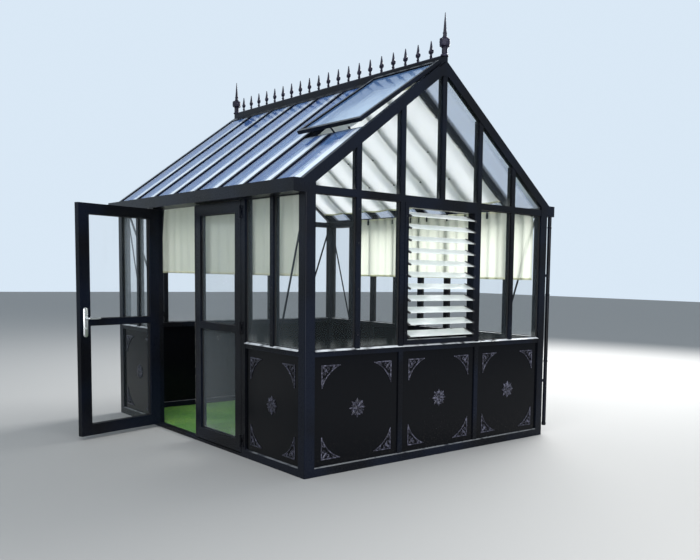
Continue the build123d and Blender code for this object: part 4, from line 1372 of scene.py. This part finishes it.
def shadeGear(facts):
    wires, clip, places = Shape(), Shape(), []
    for low, high in facts["clip"]:
        clip.block(low, high)
    for node in ("wall_shade_left", "wall_shade_right"):
        low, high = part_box(node)
        x, z, over = (low.x + high.x) / 2, high.z - facts["drop"], facts["overhang"]
        wires.tube([(x, low.y - over, z), (x, high.y + over, z)], facts["wire"], 6)
        count = round((high.y - low.y) / facts["ringPitch"])
        for i in range(count + 1):
            places.append(((x, low.y + (high.y - low.y) * i / count, z), (0, 0, 0)))
    for node, side in (("roof_shade_left", -1), ("roof_shade_right", 1)):
        low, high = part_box(node)
        drop = (high.z - low.z) / slopeSin
        turn = Matrix.Rotation(side * house["pitch"], 3, "Y").to_euler()
        for y in barLines:
            for t in facts["clipRows"]:
                if low.y < y < high.y:
                    x = side * (facts["ridgeGap"] + drop * slopeCos * t)
                    places.append(((x, y, high.z - drop * slopeSin * t + 0.002), turn))
    showShape("shade_wires", wires, "root", "steel", True)
    repeatShape("shade_clips", clip, places, "root", "plastic", False)


shadeGear(gearFacts)
print("cloth wires and clips set")


# Shade cloth: a thin woven net, pale green white, seen against the light
clothFacts = {
    "thread": (0.87, 0.90, 0.78),
    "shadow": (0.78, 0.84, 0.64),
    "roof": (0.96, 0.97, 0.94),
    "hem": (0.86, 0.86, 0.68),
    "weave": 420,
    "through": 0.42,
    "rib": 5200,
    "tape": 0.0012,
}


def letThrough(f, sockets, tint, share):
    # some of the light goes through the thread to the other side
    main = f.shade({**sockets, "Roughness": 0.85})
    glow = f.node("BsdfTranslucent", sockets={"Color": tint})
    return f.done(f.node("MixShader", sockets={0: share, 1: main, 2: glow}))


def clothFinish(name, facts, tint):
    f = Finish(name)
    flat = f.node("UVMap", {"uv_map": "cut"})
    u, v = f.axes(flat)[:2]
    warp = f.maths("SINE", u * (facts["weave"] * 2 * math.pi))
    weft = f.maths("SINE", v * (facts["weave"] * 2 * math.pi))
    weave = f.maths("MAXIMUM", warp, weft)
    soft = f.noise(flat, 6, 4)
    colour = f.mix(f.between(soft, 0.35, 0.7), tint, facts["shadow"])
    colour = f.mix(0.75, colour, tint)
    normal = f.bump(weave, 0.25, 0.0006)
    sockets = {"Base Color": colour, "Sheen Weight": 0.25, "Normal": normal}
    return letThrough(f, sockets, tint, facts["through"])


def tapeFinish(name, facts, tint):
    f = Finish(name)
    rib = f.maths("SINE", f.axes(f.place())[1] * facts["rib"])
    return letThrough(f, {"Base Color": tint, "Normal": f.bump(rib, 0.2, 0.0004)}, tint, 0.40)


finishes["cloth"] = clothFinish("shade_cloth", clothFacts, clothFacts["thread"])
finishes["roofCloth"] = clothFinish("roof_shade_cloth", clothFacts, clothFacts["roof"])
finishes["hem"] = tapeFinish("cloth_hem", clothFacts, clothFacts["hem"])


def gridFaces(columns, rows):
    faces = []
    for j in range(rows - 1):
        for i in range(columns - 1):
            a = j * columns + i
            faces.append((a, a + 1, a + columns + 1, a + columns))
    return faces


# A tape folded over two rows of a settled cloth, on both of its faces
def foldTape(name, piece, columns, first):
    made = Shape()
    rows = list(piece.data.vertices)[first * columns : (first + 2) * columns]
    for way in (-1, 1):
        points = [v.co + way * clothFacts["tape"] * v.normal for v in rows]
        made.add(points, gridFaces(columns, 2))
    half = 2 * columns
    for start in (columns, 0):
        edge = range(start, start + columns - 1)
        made.faces += [(a, a + 1, half + a + 1, half + a) for a in edge]
    made.faces += [(i, columns + i, half + columns + i, half + i) for i in (0, columns - 1)]
    return showShape(name, made, "root", "hem", True)


def settle(piece, pins, facts):
    group = piece.vertex_groups.new(name="pins")
    group.add(pins, 1.0, "REPLACE")
    cloth = piece.modifiers.new("cloth", "CLOTH")
    settings = {
        "quality": 6,
        "mass": facts["mass"],
        "tension_stiffness": 25,
        "compression_stiffness": 25,
        "shear_stiffness": 8,
        "bending_stiffness": facts["bending"],
        "air_damping": 2.0,
        "vertex_group_mass": "pins",
    }
    for key, value in settings.items():
        setattr(cloth.settings, key, value)
    cloth.collision_settings.use_collision = False
    cloth.point_cache.frame_start = 1
    cloth.point_cache.frame_end = facts["frames"]
    for step in range(1, facts["frames"] + 1):
        bpy.context.scene.frame_set(step)
    shaped = piece.evaluated_get(bpy.context.evaluated_depsgraph_get())
    points = [v.co.copy() for v in shaped.data.vertices]
    piece.modifiers.remove(cloth)
    for vertex, point in zip(piece.data.vertices, points):
        vertex.co = point
    piece.data.update()
    bpy.context.scene.frame_set(1)


# A cloth on a grid of points, settled where it is pinned, and its two tapes
def makeCloth(name, node, points, pins, finish, flat, facts):
    columns, rows = facts["columns"], facts["rows"]
    mesh = bpy.data.meshes.new(name)
    mesh.from_pydata([tuple(p) for p in points], [], gridFaces(columns, rows))
    mesh.validate()
    piece = showMesh(name, mesh, "root", finishes[finish], True)
    layer = mesh.uv_layers.new(name="cut")
    for loop in mesh.loops:
        j, i = divmod(loop.vertex_index, columns)
        layer.data[loop.index].uv = (i / (columns - 1) * flat[0], j / (rows - 1) * flat[1])
    settle(piece, pins, facts)
    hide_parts(node)
    heading = foldTape(name + "_heading", piece, columns, 0)
    return piece, [heading, foldTape(name + "_hem", piece, columns, rows - 2)]


# Side cloths hang from a wire under the wall plate and fall in uneven pleats
wallCloth = {
    "columns": 241,
    "rows": 36,
    "spare": 1.10,
    "pleat": 0.130,
    "flare": 0.055,
    "inset": 0.010,
    "mass": 0.12,
    "bending": 0.06,
    "frames": 24,
}


def pleatedLine(span, flatWidth, facts, seed):
    # points along the wire and out of the wall, one for each column of the cut
    rng = random.Random(seed)
    count = round(span / facts["pleat"])
    for _ in range(count + 1):
        rng.uniform(-0.25, 0.25)  # passed over: the seeds were chosen by the depths that follow
    depth = [rng.uniform(0.55, 1.0) for i in range(count)]
    along = np.linspace(0, span, 2400)
    at = along / span * count
    wave = np.zeros_like(at)
    for i in range(count):
        inside = (at >= i) & (at <= i + 1)
        turn = (at[inside] - i + 0.08 * np.sin(at[inside] * 1.7)) * 2 * math.pi
        wave[inside] = np.sin(turn) * depth[i]
    # halve towards the depth at which the line takes up the flat width
    low, high = 0.0, 0.08
    for _ in range(40):
        middle = (low + high) / 2
        steps = np.hypot(np.diff(along), np.diff(wave * middle))
        if steps.sum() < flatWidth:
            low = middle
        else:
            high = middle
    run = np.concatenate([[0], np.cumsum(np.hypot(np.diff(along), np.diff(wave * low)))])
    want = np.linspace(0, run[-1], facts["columns"])
    return np.interp(want, run, along), np.interp(want, run, wave * low)


def hangWallCloth(name, node, side, seed, facts):
    low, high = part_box(node)
    span, drop = high.y - low.y, high.z - low.z
    flat = (span * facts["spare"], drop)
    along, out = pleatedLine(span, flat[0], facts, seed)
    columns, rows = facts["columns"], facts["rows"]
    middle = (low.x + high.x) / 2 - side * facts["inset"]
    points = []
    for j in range(rows):
        level = high.z - drop * j / (rows - 1)
        for i in range(columns):
            end = max(0.0, along[i] / span - 0.8) / 0.2
            flare = facts["flare"] * end**2 * j / (rows - 1)
            points.append((middle + side * out[i], low.y + along[i] + flare, level))
    pins = list(range(columns))
    piece, tapes = makeCloth(name, node, points, pins, "cloth", flat, facts)
    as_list(tapes)


hangWallCloth("left_wall_cloth", "wall_shade_left", -1, 3, wallCloth)
hangWallCloth("right_wall_cloth", "wall_shade_right", 1, 8, wallCloth)
print("wall cloths hung")

# Roof cloths lie under the rafters, clipped to each one, and sag a little between the clips
roofCloth = {
    "columns": 141,
    "rows": 64,
    "spare": 1.008,
    "clips": 5,
    "sag": 0.004,
    "below": 0.0035,
    "mass": 0.12,
    "bending": 0.08,
    "frames": 24,
}


def hangRoofCloth(name, node, side, facts):
    low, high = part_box(node)
    span = high.y - low.y
    drop = (high.z - low.z) / slopeSin
    flat = (span * facts["spare"], drop * facts["spare"])
    columns, rows, steps = facts["columns"], facts["rows"], facts["clips"] - 1
    ridge = low.x if side > 0 else high.x
    normal = Vector((side * slopeSin, 0, slopeCos))
    points, pins = [], []
    lines = barLines + [high.y - 0.02]
    for j in range(rows):
        t = j / (rows - 1)
        clipped = abs(t * steps - round(t * steps)) < 0.5 * steps / (rows - 1)
        for i in range(columns):
            y = low.y + span * i / (columns - 1)
            sag = facts["sag"] * (1 - math.cos(2 * math.pi * (y / house["module"])))
            spot = Vector((ridge + side * drop * slopeCos * t, y, high.z - drop * slopeSin * t))
            points.append(spot - normal * (facts["below"] + sag))
            beside = min(abs(u - y) for u in lines) < span / (columns - 1) * 0.6
            if j == 0 or (beside and (clipped or j == rows - 1)):
                pins.append(j * columns + i)
    piece, tapes = makeCloth(name, node, points, pins, "roofCloth", flat, facts)
    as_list(tapes)


hangRoofCloth("left_roof_cloth", "roof_shade_left", -1, roofCloth)
hangRoofCloth("right_roof_cloth", "roof_shade_right", 1, roofCloth)
print("roof cloths hung")

print("scene built")
